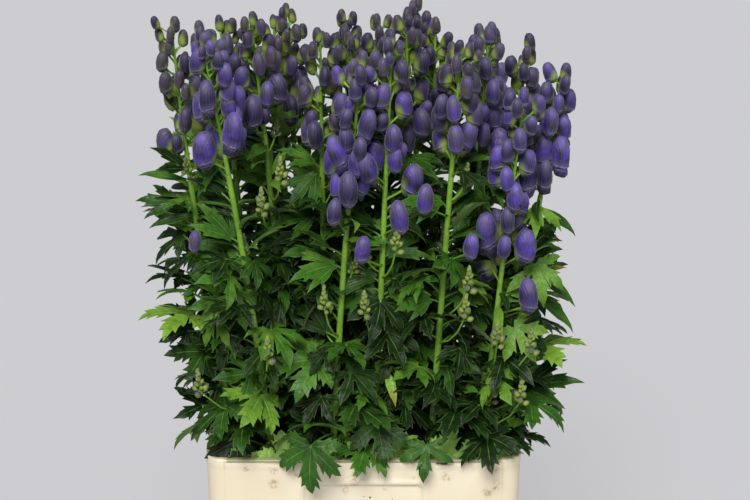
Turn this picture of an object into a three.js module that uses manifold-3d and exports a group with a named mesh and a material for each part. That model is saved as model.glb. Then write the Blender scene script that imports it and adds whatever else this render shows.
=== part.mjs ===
// A clump of arendsii monkshood in an oblong plastic tub: leafy stems stand in holes in the soil, and each
// ends in a spike of hooded buds. Millimetres, +Z up; the front faces -Y and the origin is under the tub.
import * as THREE from "three";
import Module from "manifold-3d";

const wasm = await Module();
wasm.setup();
const rad = THREE.MathUtils.degToRad;
const UP = new THREE.Vector3(0, 0, 1);

// The tub, measured over its rim; the insets are how far each height stands in from the rim's outer edge
const TUB = { width: 380, depth: 280, height: 260, corner: 24, wall: 3.5, floor: 4, rim: 9, rimDepth: 10 };
const NECK = TUB.height - TUB.rimDepth - 4;
const FOOT_INSET = 7;
const NECK_INSET = 1;
const FOOT_BEVEL = { inwards: 2, up: 3 };
const RIM_BEVEL = 2;
const CORNER_STEPS = 2;
const PANEL = { width: 150, low: 60, top: 230, corner: 14, arcPoints: 3, proud: 1.2, sunk: 2 };
const SLOT = { apart: 188, width: 12, height: 2.4, depth: 3, below: 4.5 };

// The soil, and the plain holes in it that the stems stand in
const CLEAR = 0.3;
const SOIL_TOP = TUB.height - 45;
const SOIL_SHOULDER = { down: 5, inwards: 8 };
const HOLE_DEPTH = 60;
const STRAIGHT = SOIL_TOP + 6;

// The stems: where each stands, where its tip is, how its line bows, how long its spike is and how ripe
const STEMS = [
  { foot: [-108, -94], head: [-186, -128, 790], bow: -0.3, spike: 178, ripe: 1 },
  { foot: [-38, -100], head: [0, -114, 762], bow: -0.45, spike: 196, ripe: 0.9 },
  { foot: [12, -96], head: [34, -108, 785], bow: -0.1, spike: 215, ripe: 0.8 },
  { foot: [80, -94], head: [114, -112, 776], bow: -0.15, spike: 165, ripe: 0.55 },
  { foot: [142, -92], head: [187, -126, 722], bow: -0.25, spike: 255, ripe: 1 },
  { foot: [-150, -52], head: [-223, -66, 790], bow: 0.45, spike: 185, ripe: 0.3 },
  { foot: [-84, -46], head: [-131, -58, 794], bow: -0.2, spike: 150, ripe: 0.5 },
  { foot: [-122, -8], head: [-170, -18, 778], bow: 0.1, spike: 160, ripe: 0.6 },
  { foot: [-46, -44], head: [-50, -56, 774], bow: 0.1, spike: 170, ripe: 0.35 },
  { foot: [44, -46], head: [52, -52, 797], bow: 0.3, spike: 190, ripe: 0.45 },
  { foot: [118, -48], head: [146, -60, 776], bow: -0.1, spike: 175, ripe: 0.7 },
  { foot: [166, -46], head: [236, -76, 738], bow: -0.2, spike: 170, ripe: 0.95 },
  { foot: [-76, 18], head: [-108, 22, 768], bow: 0.1, spike: 150, ripe: 0.3 },
  { foot: [-18, 10], head: [-14, 6, 752], bow: 0.1, spike: 150, ripe: 0.4 },
  { foot: [30, 14], head: [18, 40, 766], bow: 0.1, spike: 140, ripe: 0.25 },
  { foot: [78, 12], head: [86, 14, 768], bow: 0.1, spike: 160, ripe: 0.45 },
  { foot: [150, 4], head: [196, -6, 752], bow: -0.1, spike: 180, ripe: 0.6 },
  { foot: [-140, 62], head: [-204, 84, 744], bow: 0.2, spike: 170, ripe: 0.8 },
  { foot: [-66, 78], head: [-96, 108, 760], bow: 0.1, spike: 160, ripe: 0.35 },
  { foot: [-4, 74], head: [-24, 92, 758], bow: 0.1, spike: 165, ripe: 0.3 },
  { foot: [62, 80], head: [66, 112, 770], bow: 0.1, spike: 170, ripe: 0.6 },
  { foot: [126, 68], head: [154, 92, 742], bow: 0.1, spike: 185, ripe: 0.75 },
];
const STEM = { radii: [4.8, 3.2], sides: 4, base: 5 };
const SPIKE = { radii: [2.9, 1.2], sides: 4, base: 2.6 };
const NODE_SPACING = 9;
const MOST_OPENING = 0.6;

// The buds of a spike, from its tip down: each is larger than the one above, on a longer stalk, and a ripe
// spike's are the largest
const BUDS = 13;
const TIP_BUDS = 4;
const BUD_CROWDING = 1.3;
const BUD_HEIGHT = { young: [16, 32], ripe: [24, 42] };
const BUD_VARIETY = [0.9, 1.04];
const BUD_STALK = [10, 25];
const BUD_RISE = [52, 38];
const BUD_LEAN = [65, 83];
const BUD_ENDS = [3, 6];
const BUD_STRAY = { tries: 20, turn: [8, 180], rise: [6, 22], stalk: [0.1, 0.25] };
const TIP_BUD = { stalk: 4, rise: 84, lean: 87 };
const STALK_RADIUS = 1.3;
const TWIST = 137.5;
const STEM_TWIST = 67;

// A hood's rings and tip as shares of its height: the inner and outer point of each, as outwards and up from
// the stalk's end, and half its width; the stalk meets the hood low on its inner side
const HOOD = [
  { inner: [-0.12, 0.1], outer: [0.46, -0.08], wide: 0.25 },
  { inner: [-0.17, 0.6], outer: [0.4, 0.6], wide: 0.26 },
];
const SMALL_HOOD = { inner: [-0.28, 0.36], outer: [0.36, 0.28], wide: 0.28 };
const HOOD_TIP = [0.08, 0.94];

// The leaves of a stem, from the ground up; reach is from where the lobes meet to the tip of the middle lobe
const TIERS = [
  {
    shape: "cut",
    count: 2,
    low: 0.02,
    high: 0.26,
    reach: [54, 64],
    stalk: [34, 56],
    rise: [25, 50],
    tilt: [-50, 0],
  },
  {
    shape: "lobed",
    count: 5,
    low: 0.2,
    high: 0.78,
    reach: [46, 58],
    stalk: [18, 38],
    rise: [25, 50],
    tilt: [-52, 6],
  },
  {
    shape: "bract",
    count: 3,
    low: 0.76,
    high: 0.98,
    reach: [34, 56],
    stalk: [7, 12],
    rise: [30, 55],
    tilt: [-10, 50],
  },
];
const LOBE_TURN = 52;
const LOBE_REACH = [1, 0.88, 0.62];
const NOTCH_REACH = 0.44;
const BASE_NOTCH = { turn: 142, reach: 0.18 };
const TOOTH = { turn: 14, reach: 0.77 };
const LEAF_THICKNESS = 1.8;
const DROOP = 0.22;
const FOLD = 0.06;
const ROLL = [-38, 38];
const LEAF_STRAY = 0.03;
const FAN = [180, 85];

// Leaves that stand out by themselves: which stem bears each, how high, where it points, and how far all that
// may stray
const KNOWN_LEAVES = [
  { stem: 1, z: 272, shape: "cut", turn: 242, rise: 12, stalk: 62, tilt: -66, reach: 62 },
  { stem: 5, z: 398, shape: "cut", turn: 186, rise: 34, stalk: 34, tilt: 8, reach: 68 },
  { stem: 11, z: 352, shape: "cut", turn: 350, rise: 34, stalk: 40, tilt: 14, reach: 60 },
  { stem: 11, z: 586, shape: "bract", turn: 4, rise: 30, stalk: 8, tilt: 12, reach: 56 },
  { stem: 5, z: 556, shape: "lobed", turn: 176, rise: 40, stalk: 10, tilt: 16, reach: 46 },
  { stem: 3, z: 268, shape: "lobed", turn: 262, rise: 14, stalk: 50, tilt: -62, reach: 44 },
  { stem: 2, z: 292, shape: "cut", turn: 275, rise: 20, stalk: 34, tilt: -48, reach: 54 },
  { stem: 0, z: 300, shape: "cut", turn: 205, rise: 22, stalk: 58, tilt: -28, reach: 58 },
  { stem: 4, z: 300, shape: "cut", turn: 338, rise: 26, stalk: 60, tilt: -16, reach: 58 },
];
const KNOWN_STRAY = { tries: 8, z: 8, turn: 14, rise: 8, tilt: 8, roll: 20 };

// Placing: a leaf or bud is tried again, a little smaller each time, until it is clear of all others
const SEED = 20261;
const TRIES = 70;
const SHRINK = 0.994;
const SPARE = 0.6;
const GUARD = { sides: 8, girth: 1.15 };
const ROOT_GIRTH = 0.7;

// The same whole numbers always draw the same share between 0 and 1
function draw(...keys) {
  let mixed = SEED;
  for (const key of keys) {
    mixed = Math.imul(mixed ^ key, 0x9e3779b1);
    mixed ^= mixed >>> 15;
    mixed = Math.imul(mixed, 0x85ebca77);
    mixed ^= mixed >>> 13;
  }
  return (mixed >>> 0) / 2 ** 32;
}

function mix([from, to], share) {
  return from + (to - from) * share;
}

// A direction that points away from the vertical by its turn, and up by its rise, both in degrees
function pointing(turn, rise) {
  const flat = Math.cos(rad(rise));
  return new THREE.Vector3(flat * Math.cos(rad(turn)), flat * Math.sin(rad(turn)), Math.sin(rad(rise)));
}

// A ring of points round a centre, in the plane of two directions
function ringAround(centre, across, along, halfAcross, halfAlong, sides) {
  return Array.from({ length: sides }, (_, side) => {
    const angle = (2 * Math.PI * side) / sides;
    return centre
      .clone()
      .addScaledVector(across, halfAcross * Math.cos(angle))
      .addScaledVector(along, halfAlong * Math.sin(angle));
  });
}

// A closed surface through rings of points that run counter-clockwise, seen from the last ring's side
function loft(rings) {
  const points = rings.flat();
  const faces = [];
  let low = 0;
  for (let side = 2; side < rings[0].length; side++) faces.push([0, side, side - 1]);
  rings.slice(1).forEach((upper, index) => {
    const lower = rings[index];
    const high = low + lower.length;
    let i = lower.length === 1 ? 1 : 0;
    let j = upper.length === 1 ? 1 : 0;
    while (i < lower.length || j < upper.length) {
      const here = [low + (i % lower.length), high + (j % upper.length)];
      if (j >= upper.length || (i < lower.length && (i + 1) * upper.length <= (j + 1) * lower.length)) {
        i++;
        faces.push([here[0], low + (i % lower.length), here[1]]);
      } else {
        j++;
        faces.push([here[0], high + (j % upper.length), here[1]]);
      }
    }
    low = high;
  });
  const last = rings.at(-1).length;
  for (let side = 2; side < last; side++) faces.push([low, low + side - 1, low + side]);
  return { points, faces };
}

function roundedRing(width, depth, corner, z) {
  const ring = [];
  for (let quarter = 0; quarter < 4; quarter++) {
    const sideX = quarter === 0 || quarter === 3 ? 1 : -1;
    const sideY = quarter < 2 ? 1 : -1;
    for (let step = 0; step <= CORNER_STEPS; step++) {
      const angle = rad(90 * (quarter + step / CORNER_STEPS));
      const x = sideX * (width / 2 - corner) + corner * Math.cos(angle);
      const y = sideY * (depth / 2 - corner) + corner * Math.sin(angle);
      ring.push(new THREE.Vector3(x, y, z));
    }
  }
  return ring;
}

function tubRing([inset, z]) {
  return roundedRing(TUB.width - 2 * inset, TUB.depth - 2 * inset, TUB.corner - inset, z);
}

function toManifold({ points, faces }) {
  return new wasm.Manifold(
    new wasm.Mesh({
      numProp: 3,
      vertProperties: new Float32Array(points.flatMap((point) => point.toArray())),
      triVerts: new Uint32Array(faces.flat()),
    }),
  );
}

function toGeometry(solid) {
  const mesh = solid.getMesh();
  const geometry = new THREE.BufferGeometry();
  geometry.setAttribute("position", new THREE.BufferAttribute(mesh.vertProperties, 3));
  geometry.setIndex(new THREE.BufferAttribute(mesh.triVerts, 1));
  geometry.computeVertexNormals();
  return geometry;
}

function boxSolid(low, high) {
  const corners = [[low, low], [high, low], [high, high], [low, high]];
  const ring = (z) => corners.map(([atX, atY]) => new THREE.Vector3(atX[0], atY[1], z));
  return toManifold(loft([ring(low[2]), ring(high[2])]));
}

// How far the tub's inner wall stands in from the rim's outer edge at a height
function innerInset(z) {
  const share = (z - TUB.floor) / (NECK - TUB.floor);
  return mix([FOOT_INSET, NECK_INSET], share) + TUB.wall;
}

// The tub's profile, up its outer wall, over the rim and down its inner wall to the floor
function tubShell() {
  return loft(
    [
      [FOOT_INSET + FOOT_BEVEL.inwards, 0],
      [FOOT_INSET, FOOT_BEVEL.up],
      [NECK_INSET, NECK],
      [0, NECK + NECK_INSET],
      [0, TUB.height - RIM_BEVEL],
      [RIM_BEVEL, TUB.height],
      [TUB.rim, TUB.height],
      [TUB.rim, TUB.height - TUB.rimDepth],
      [innerInset(NECK), NECK],
      [innerInset(TUB.floor), TUB.floor],
    ].map(tubRing),
  );
}

// The raised panel in the middle of the front and of the back
function wallPanel(side) {
  const { width, low, top, corner, arcPoints, proud, sunk } = PANEL;
  const outline = new THREE.Shape();
  outline.moveTo(-width / 2, low);
  outline.lineTo(width / 2, low);
  outline.lineTo(width / 2, top - corner);
  outline.absarc(width / 2 - corner, top - corner, corner, 0, Math.PI / 2);
  outline.absarc(corner - width / 2, top - corner, corner, Math.PI / 2, Math.PI);
  const points = outline.extractPoints(arcPoints).shape;
  const faceAt = (z) => TUB.depth / 2 - mix([FOOT_INSET, NECK_INSET], z / NECK);
  const ring = (offset) =>
    points.map(({ x, y }) => new THREE.Vector3(-side * x, side * (faceAt(y) + offset), y));
  return toManifold(loft([ring(-sunk), ring(proud)]));
}

// One of the two thin slots in the front of the rim
function slotCutter(x) {
  const { width, height, depth, below } = SLOT;
  const front = -TUB.depth / 2;
  const z = TUB.height - below;
  return boxSolid([x - width / 2, front - 1, z - height / 2], [x + width / 2, front + depth, z + height / 2]);
}

function tubSolid() {
  const shell = toManifold(tubShell());
  const slots = [-SLOT.apart / 2, SLOT.apart / 2].map(slotCutter);
  return shell.add(wallPanel(-1)).add(wallPanel(1)).subtract(wasm.Manifold.union(slots));
}

// A stem's line: straight up out of its hole, then leaning and bowing to its tip
function lineAt({ foot, head, bow }, z) {
  const share = Math.max(0, (z - STRAIGHT) / (head[2] - STRAIGHT));
  const lean = share + bow * share * (1 - share);
  return new THREE.Vector3(mix([foot[0], head[0]], lean), mix([foot[1], head[1]], lean), z);
}

function spikeFoot({ head, spike }) {
  return head[2] - spike;
}

// A bud's height, by how far down its spike it is and how ripe that spike is
function budHeight({ ripe }, down) {
  return mix([mix(BUD_HEIGHT.young, down), mix(BUD_HEIGHT.ripe, down)], ripe);
}

// What carries leaves or buds: the leafy stem up to the spike's foot, and the spike's own axis above it
function axisOf(stem, kind) {
  const [from, to] =
    kind === STEM
      ? [SOIL_TOP - HOLE_DEPTH + CLEAR, spikeFoot(stem)]
      : [spikeFoot(stem) + CLEAR, stem.head[2] - budHeight(stem, 0)];
  return { stem, kind, from, to };
}

function radiusAt({ kind, from, to }, z) {
  return mix(kind.radii, (z - from) / (to - from));
}

function levelRing(axis, z, sides, girth, phase) {
  const centre = lineAt(axis.stem, z);
  return ringAround(centre, pointing(phase, 0), pointing(phase + 90, 0), girth, girth, sides);
}

// A plain tube a little wider than the axis, which other stems' leaves and buds stay clear of
function guardTube(axis) {
  const above = Math.max(axis.from, STRAIGHT);
  const heights = [above, mix([above, axis.to], 1 / 3), mix([above, axis.to], 2 / 3), axis.to];
  if (above > axis.from) heights.unshift(axis.from);
  return loft(heights.map((z) => levelRing(axis, z, GUARD.sides, radiusAt(axis, z) * GUARD.girth, 0)));
}

function holeCutter({ foot }) {
  const radius = STEM.radii[0] + CLEAR / Math.cos(Math.PI / STEM.sides);
  const ring = (z) =>
    ringAround(new THREE.Vector3(...foot, z), pointing(0, 0), pointing(90, 0), radius, radius, STEM.sides);
  return toManifold(loft([ring(SOIL_TOP - HOLE_DEPTH), ring(SOIL_TOP + 1)]));
}

function soilSolid() {
  const low = TUB.floor + CLEAR;
  const shoulder = SOIL_TOP - SOIL_SHOULDER.down;
  const block = loft(
    [
      [innerInset(low) + CLEAR, low],
      [innerInset(shoulder) + CLEAR, shoulder],
      [innerInset(shoulder) + SOIL_SHOULDER.inwards, SOIL_TOP],
    ].map(tubRing),
  );
  return toManifold(block).subtract(wasm.Manifold.union(STEMS.map(holeCutter)));
}

// The outline of a leaf of five lobes as [angle, reach, fold], where a notch is folded up between its lobes;
// a cut leaf has a tooth on each side of its three larger lobes
function lobedOutline(cut) {
  const outline = [[-BASE_NOTCH.turn, BASE_NOTCH.reach, FOLD]];
  for (let lobe = -2; lobe <= 2; lobe++) {
    const angle = lobe * LOBE_TURN;
    const reach = LOBE_REACH[Math.abs(lobe)];
    const toothed = cut && Math.abs(lobe) < 2;
    if (toothed) outline.push([angle - TOOTH.turn, reach * TOOTH.reach, 0]);
    outline.push([angle, reach, 0]);
    if (toothed) outline.push([angle + TOOTH.turn, reach * TOOTH.reach, 0]);
    if (lobe < 2) outline.push([angle + LOBE_TURN / 2, NOTCH_REACH, FOLD]);
  }
  outline.push([BASE_NOTCH.turn, BASE_NOTCH.reach, FOLD]);
  return outline;
}

const OUTLINES = {
  cut: lobedOutline(true),
  lobed: lobedOutline(false),
  bract: [[-100, 0.16, FOLD], [-20, 0.46, FOLD], [0, 1, 0], [20, 0.46, FOLD], [100, 0.16, FOLD]],
};

// The three-cornered ring of a stalk: its lower left, lower right and top corners, seen from its outer end
function stalkRing(centre, way, side, radius) {
  const across = new THREE.Vector3().crossVectors(way, side);
  return [-150, -30, 90].map((angle) =>
    centre
      .clone()
      .addScaledVector(side, radius * Math.cos(rad(angle)))
      .addScaledVector(across, radius * Math.sin(rad(angle))),
  );
}

// A leaf on its base triangle: its stalk widens into a blade that thins from its middle to its edge
function leafPart(base, { root, shape, turn, rise, stalk, tilt, roll, reach }, swell = 0, shift = 0) {
  const stalkWay = pointing(turn, rise);
  const forward = pointing(turn, tilt);
  const level = pointing(turn + 90, 0);
  const across = level.applyAxisAngle(forward, rad(roll));
  const normal = new THREE.Vector3().crossVectors(forward, across);
  const centre = root.clone().addScaledVector(stalkWay, stalk).addScaledVector(normal, shift);
  const edge = OUTLINES[shape].map(([angle, share, fold]) => {
    const length = share * reach + swell;
    const lift = (fold - DROOP * share * share) * reach;
    return centre
      .clone()
      .addScaledVector(forward, length * Math.cos(rad(angle)))
      .addScaledVector(across, length * Math.sin(rad(angle)))
      .addScaledVector(normal, lift);
  });
  const half = LEAF_THICKNESS / 2 + swell;
  const top = centre.clone().addScaledVector(normal, half);
  const bottom = centre.clone().addScaledVector(normal, -half);
  const points = [...base, top, bottom, ...edge];
  const last = points.length - 1;
  const faces = [[0, 1, 4], [1, 2, last], [2, 0, 5], [1, last, 4], [0, 4, 5], [last, 2, 3], [2, 5, 3]];
  for (let at = 5; at < last; at++) faces.push([3, at, at + 1], [4, at + 1, at]);
  return { points, faces };
}

// A bud on its base triangle: a stalk, and a hood that stands up from its end, narrower than it is deep
function budPart(base, { root, turn, rise, stalk, lean, height, small }, swell = 0) {
  const stalkWay = pointing(turn, rise);
  const up = pointing(turn, lean);
  const out = pointing(turn, lean - 90);
  const side = pointing(turn + 90, 0);
  const stalkEnd = root.clone().addScaledVector(stalkWay, stalk);
  const at = ([outwards, upwards]) =>
    stalkEnd.clone().addScaledVector(out, outwards * height).addScaledVector(up, upwards * height);
  const hoodRing = ({ inner, outer, wide }) => {
    const near = at(inner).addScaledVector(out, -swell);
    const far = at(outer).addScaledVector(out, swell);
    const [left, right] = [-1, 1].map((way) =>
      near.clone().lerp(far, 0.5).addScaledVector(side, way * (wide * height + swell)),
    );
    return [left, far, right, near];
  };
  const tip = [at(HOOD_TIP).addScaledVector(up, swell)];
  const collar = stalkRing(stalkEnd, stalkWay, side, STALK_RADIUS + swell);
  const rings = small ? [base, hoodRing(SMALL_HOOD), tip] : [base, collar, ...HOOD.map(hoodRing), tip];
  const { points, faces } = loft(rings);
  return { points, faces: faces.slice(1) };
}

// Clearness is tested on the edges and faces of closed shapes: two of them cross where an edge pierces a face
function prepared({ points, faces }) {
  const edges = new Map();
  for (const [a, b, c] of faces)
    for (const [from, to] of [[a, b], [b, c], [c, a]])
      if (from < to) edges.set(from * points.length + to, [points[from], points[to]]);
  return {
    box: new THREE.Box3().setFromPoints(points),
    edges: [...edges.values()],
    triangles: faces.map((face) => face.map((index) => points[index])),
  };
}

const span = new THREE.Vector3();
const sideOne = new THREE.Vector3();
const sideTwo = new THREE.Vector3();
const away = new THREE.Vector3();
const normalOne = new THREE.Vector3();
const normalTwo = new THREE.Vector3();

function pierces([from, to], [a, b, c]) {
  span.subVectors(to, from);
  sideOne.subVectors(b, a);
  sideTwo.subVectors(c, a);
  normalOne.crossVectors(span, sideTwo);
  const size = sideOne.dot(normalOne);
  if (Math.abs(size) < 1e-9) return false;
  away.subVectors(from, a);
  const u = away.dot(normalOne) / size;
  if (u < 0 || u > 1) return false;
  normalTwo.crossVectors(away, sideOne);
  const v = span.dot(normalTwo) / size;
  if (v < 0 || u + v > 1) return false;
  const t = sideTwo.dot(normalTwo) / size;
  return t >= 0 && t <= 1;
}

function crosses(one, other) {
  if (!one.box.intersectsBox(other.box)) return false;
  return (
    one.edges.some((edge) => other.triangles.some((triangle) => pierces(edge, triangle))) ||
    other.edges.some((edge) => one.triangles.some((triangle) => pierces(edge, triangle)))
  );
}

const placed = [{ shape: prepared(tubShell()), bearer: null }];

// A leaf or bud as it is tried: whole, with its base inside the axis, and its free end, clear of the axis
function trial(part, axis, place, swell, shift) {
  const side = pointing(place.turn + 90, 0);
  const girth = radiusAt(axis, place.root.z) * ROOT_GIRTH + swell;
  const base = stalkRing(place.root, pointing(place.turn, place.rise), side, girth);
  const made = part(base, place, swell, shift);
  const free = made.faces.filter((face) => face.every((index) => index > 2));
  return {
    whole: prepared({ points: made.points, faces: [[0, 2, 1], ...made.faces] }),
    free: prepared({ points: made.points, faces: free }),
  };
}

function isClear({ whole, free }, bearer) {
  if (whole.box.min.z < SOIL_TOP + 1 && Math.abs(whole.box.min.y) < TUB.depth / 2) return false;
  return placed.every((other) => !crosses(other.bearer === bearer ? free : whole, other.shape));
}

// Tries a leaf or bud until it is clear of everything in place, and leaves keep apart along the stem
function settle(bearer, part, propose) {
  for (let attempt = 0; attempt < TRIES; attempt++) {
    const place = propose(attempt);
    const apart = part === leafPart ? NODE_SPACING : 0;
    if (bearer.organs.some((other) => Math.abs(other.place.root.z - place.root.z) < apart)) continue;
    const shifts = part === leafPart ? [-SPARE, SPARE] : [0];
    if (!shifts.every((shift) => isClear(trial(part, bearer.axis, place, SPARE, shift), bearer))) continue;
    placed.push({ shape: trial(part, bearer.axis, place, 0, 0).whole, bearer: null });
    bearer.organs.push({ part, place });
    return;
  }
}

// The buds stand round the spike in a spiral, crowded at its tip and looser and riper towards its foot
function settleBud(bearer, number) {
  const { stem, index, axis } = bearer;
  const down = Math.pow(number / (BUDS - 1), BUD_CROWDING);
  const z = mix([axis.to - BUD_ENDS[0], axis.from + BUD_ENDS[1]], down);
  const size = budHeight(stem, down) * mix(BUD_VARIETY, draw(index, number, 0));
  settle(bearer, budPart, (attempt) => {
    const wide = Math.min(1, attempt / BUD_STRAY.tries);
    const stray = (key) => draw(index, number, key, attempt) * 2 - 1;
    const place = {
      root: lineAt(stem, z + stray(1) * wide),
      turn: number * TWIST + index * STEM_TWIST + stray(2) * mix(BUD_STRAY.turn, wide),
      rise: mix(BUD_RISE, down) + stray(3) * mix(BUD_STRAY.rise, wide),
      stalk: mix(BUD_STALK, down) * (1 + stray(4) * mix(BUD_STRAY.stalk, wide)),
      lean: mix(BUD_LEAN, draw(index, number, 5, attempt)),
      height: size * Math.pow(SHRINK, attempt),
      small: number < TIP_BUDS,
    };
    return number === 0 ? { ...place, ...TIP_BUD } : place;
  });
}

// The leaves that stand out keep their places, or stray a little from them where something is in the way
function settleKnownLeaf(bearer, known, number) {
  settle(bearer, leafPart, (attempt) => {
    const wide = Math.min(1, attempt / KNOWN_STRAY.tries);
    const stray = (key) => (draw(bearer.index, number, key, attempt) * 2 - 1) * wide;
    return {
      ...known,
      root: lineAt(bearer.stem, known.z + stray(11) * KNOWN_STRAY.z),
      turn: known.turn + stray(12) * KNOWN_STRAY.turn,
      rise: known.rise + stray(13) * KNOWN_STRAY.rise,
      tilt: known.tilt + stray(14) * KNOWN_STRAY.tilt,
      roll: stray(15) * KNOWN_STRAY.roll,
      reach: known.reach * Math.pow(SHRINK, attempt),
    };
  });
}

// The other leaves turn round the stem, and on the clump's outer stems they look outwards
function settleLeaf(bearer, tier, number) {
  const { stem, index } = bearer;
  const [x, y] = stem.foot;
  const outward = THREE.MathUtils.radToDeg(Math.atan2(y, x));
  const outer = Math.min(1, Math.hypot((2 * x) / TUB.width, (2 * y) / TUB.depth));
  const fan = mix(FAN, outer);
  const share = mix([tier.low, tier.high], (number + 0.5) / tier.count);
  const order = TIERS.indexOf(tier) * 10 + number;
  const reach = mix(tier.reach, draw(index, order, 20));
  settle(bearer, leafPart, (attempt) => {
    const pick = (range, key) => mix(range, draw(index, order, key, attempt));
    return {
      shape: tier.shape,
      root: lineAt(stem, mix([STRAIGHT, spikeFoot(stem)], share + pick([-LEAF_STRAY, LEAF_STRAY], 21))),
      turn: outward + pick([-fan, fan], 22),
      rise: pick(tier.rise, 23),
      stalk: pick(tier.stalk, 24),
      tilt: pick(tier.tilt, 25),
      roll: pick(ROLL, 26),
      reach: reach * Math.pow(SHRINK, attempt),
    };
  });
}

// Every stem and spike is in place before the first bud and leaf, and each round gives every stem one more
const bearerOf = (kind) => (stem, index) => ({ stem, index, axis: axisOf(stem, kind), organs: [] });
const stems = STEMS.map(bearerOf(STEM));
const spikes = STEMS.map(bearerOf(SPIKE));
for (const bearer of [...stems, ...spikes]) placed.push({ shape: prepared(guardTube(bearer.axis)), bearer });
for (let number = 0; number < BUDS; number++) {
  for (const bearer of spikes) settleBud(bearer, number);
}
KNOWN_LEAVES.forEach((known, number) => settleKnownLeaf(stems[known.stem], known, number));
for (const tier of TIERS) {
  for (let number = 0; number < tier.count; number++) {
    for (const bearer of stems) settleLeaf(bearer, tier, number);
  }
}

// A stem or spike as one surface: at each leaf or bud a ring turns one side towards it, and the leaf or bud
// grows out of a triangle on that side
function grown({ axis, organs }) {
  const { sides, base } = axis.kind;
  const pitch = 360 / sides;
  const levels = organs.map((organ) => ({ z: organ.place.root.z, organ }));
  levels.push({ z: axis.from }, { z: axis.to });
  if (axis.kind === STEM) levels.push({ z: STRAIGHT });
  levels.sort((one, other) => one.z - other.z);
  const points = [];
  const faces = [];
  let phase = 0;
  let below = null;
  for (const { z, organ } of levels) {
    let facing = 0;
    if (organ) {
      const wanted = organ.place.turn - pitch / 2;
      phase -= THREE.MathUtils.euclideanModulo(phase - wanted, pitch);
      facing = THREE.MathUtils.euclideanModulo(Math.round((wanted - phase) / pitch), sides);
    }
    const first = points.length;
    points.push(...levelRing(axis, z, sides, radiusAt(axis, z), phase));
    for (let side = 0; below && side < sides; side++) {
      const next = (side + 1) % sides;
      const lower = [below.first + side, below.first + next, first + next];
      faces.push([below.first + side, first + next, first + side]);
      const opens = below.organ && side === below.facing;
      if (opens) growFrom(lower, below.organ, base / (z - below.z), points, faces);
      else faces.push(lower);
    }
    below = { z, organ, facing, first };
  }
  for (let side = 2; side < sides; side++) {
    faces.push([0, side, side - 1], [below.first, below.first + side - 1, below.first + side]);
  }
  return { points, faces };
}

// Opens a triangle of the axis at its foot, and lets a leaf or bud grow out of the opening
function growFrom([left, right, above], { part, place }, share, points, faces) {
  const middle = points[left].clone().lerp(points[right], 0.5);
  const top = points.length;
  points.push(middle.lerp(points[above], Math.min(MOST_OPENING, share)));
  faces.push([right, above, top], [above, left, top]);
  const made = part([points[left], points[right], points[top]], place);
  const shift = points.length - 3;
  points.push(...made.points.slice(3));
  const opening = [left, right, top];
  const placedIndex = (index) => opening[index] ?? index + shift;
  for (const face of made.faces) faces.push(face.map(placedIndex));
}

function namedMesh(name, solid, color, roughness) {
  const mesh = new THREE.Mesh(
    toGeometry(solid),
    new THREE.MeshStandardMaterial({ color, roughness, metalness: 0 }),
  );
  mesh.name = name;
  return mesh;
}

const clump = new THREE.Group();
clump.add(namedMesh("tub", tubSolid(), 0xf0e6c8, 0.55));
clump.add(namedMesh("soil", soilSolid(), 0x3a2a1e, 0.95));
const young = new THREE.Color(0x6f6470);
const ripe = new THREE.Color(0x4a3aa8);
stems.forEach((bearer, index) => {
  const label = String(index + 1).padStart(2, "0");
  clump.add(namedMesh(`stem_${label}`, toManifold(grown(bearer)), 0x3f7a2c, 0.45));
  const violet = young.clone().lerp(ripe, bearer.stem.ripe);
  clump.add(namedMesh(`spike_${label}`, toManifold(grown(spikes[index])), violet, 0.6));
});

export default clump;
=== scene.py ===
"""The looks of a potted arendsii monkshood: a cream tub of soil with a clump of leafy, flowering stems."""

import math
from functools import cache

import bmesh
import bpy
import numpy as np
from bpy.props import FloatProperty, FloatVectorProperty, IntProperty, IntVectorProperty, PointerProperty
from mathutils import Matrix, Vector, noise


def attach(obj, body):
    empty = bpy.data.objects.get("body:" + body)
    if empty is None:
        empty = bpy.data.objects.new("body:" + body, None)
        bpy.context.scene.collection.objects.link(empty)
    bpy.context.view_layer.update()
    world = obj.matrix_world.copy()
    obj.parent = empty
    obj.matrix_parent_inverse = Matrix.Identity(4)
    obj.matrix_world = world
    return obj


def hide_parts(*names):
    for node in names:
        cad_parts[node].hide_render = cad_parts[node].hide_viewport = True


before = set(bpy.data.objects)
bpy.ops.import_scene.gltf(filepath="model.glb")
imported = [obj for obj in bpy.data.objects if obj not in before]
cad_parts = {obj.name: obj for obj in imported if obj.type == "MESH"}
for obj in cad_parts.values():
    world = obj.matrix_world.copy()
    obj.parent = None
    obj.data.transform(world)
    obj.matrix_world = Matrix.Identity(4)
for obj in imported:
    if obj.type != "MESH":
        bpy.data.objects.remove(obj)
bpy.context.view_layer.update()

bl_info = {
    "name": "Potted monkshood",
    "version": (1, 0, 0),
    "blender": (4, 5, 0),
    "location": "View3D > Sidebar > Monkshood",
    "description": "Builds a potted clump of arendsii monkshood round its CAD frame",
    "category": "Add Mesh",
}

# The clump is drawn up in millimetres, like the frame's own source; meshes are made in metres
MM = 0.001

# The tub, measured over its rim
TUB_WIDTH = 380
TUB_DEPTH = 280
TUB_HEIGHT = 260
TUB_CORNER = 24
TUB_WALL = 3.5
TUB_FLOOR = 4
RIM_WIDTH = 9
RIM_DEPTH = 10
NECK = TUB_HEIGHT - RIM_DEPTH - 4
FOOT_INSET = 7
NECK_INSET = 1
FOOT_BEVEL = {"inwards": 2, "up": 3}
RIM_BEVEL = 2
PLAIN_CORNER_STEPS = 2
FINE_CORNER_STEPS = 16
PANEL = {"width": 158, "low": 60, "top": 234, "corner": 14, "proud": 1.2, "sunk": 2, "band": 7}
SLOT = {"apart": 188, "width": 13, "height": 2.6, "depth": 6, "below": 3.8}

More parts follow.
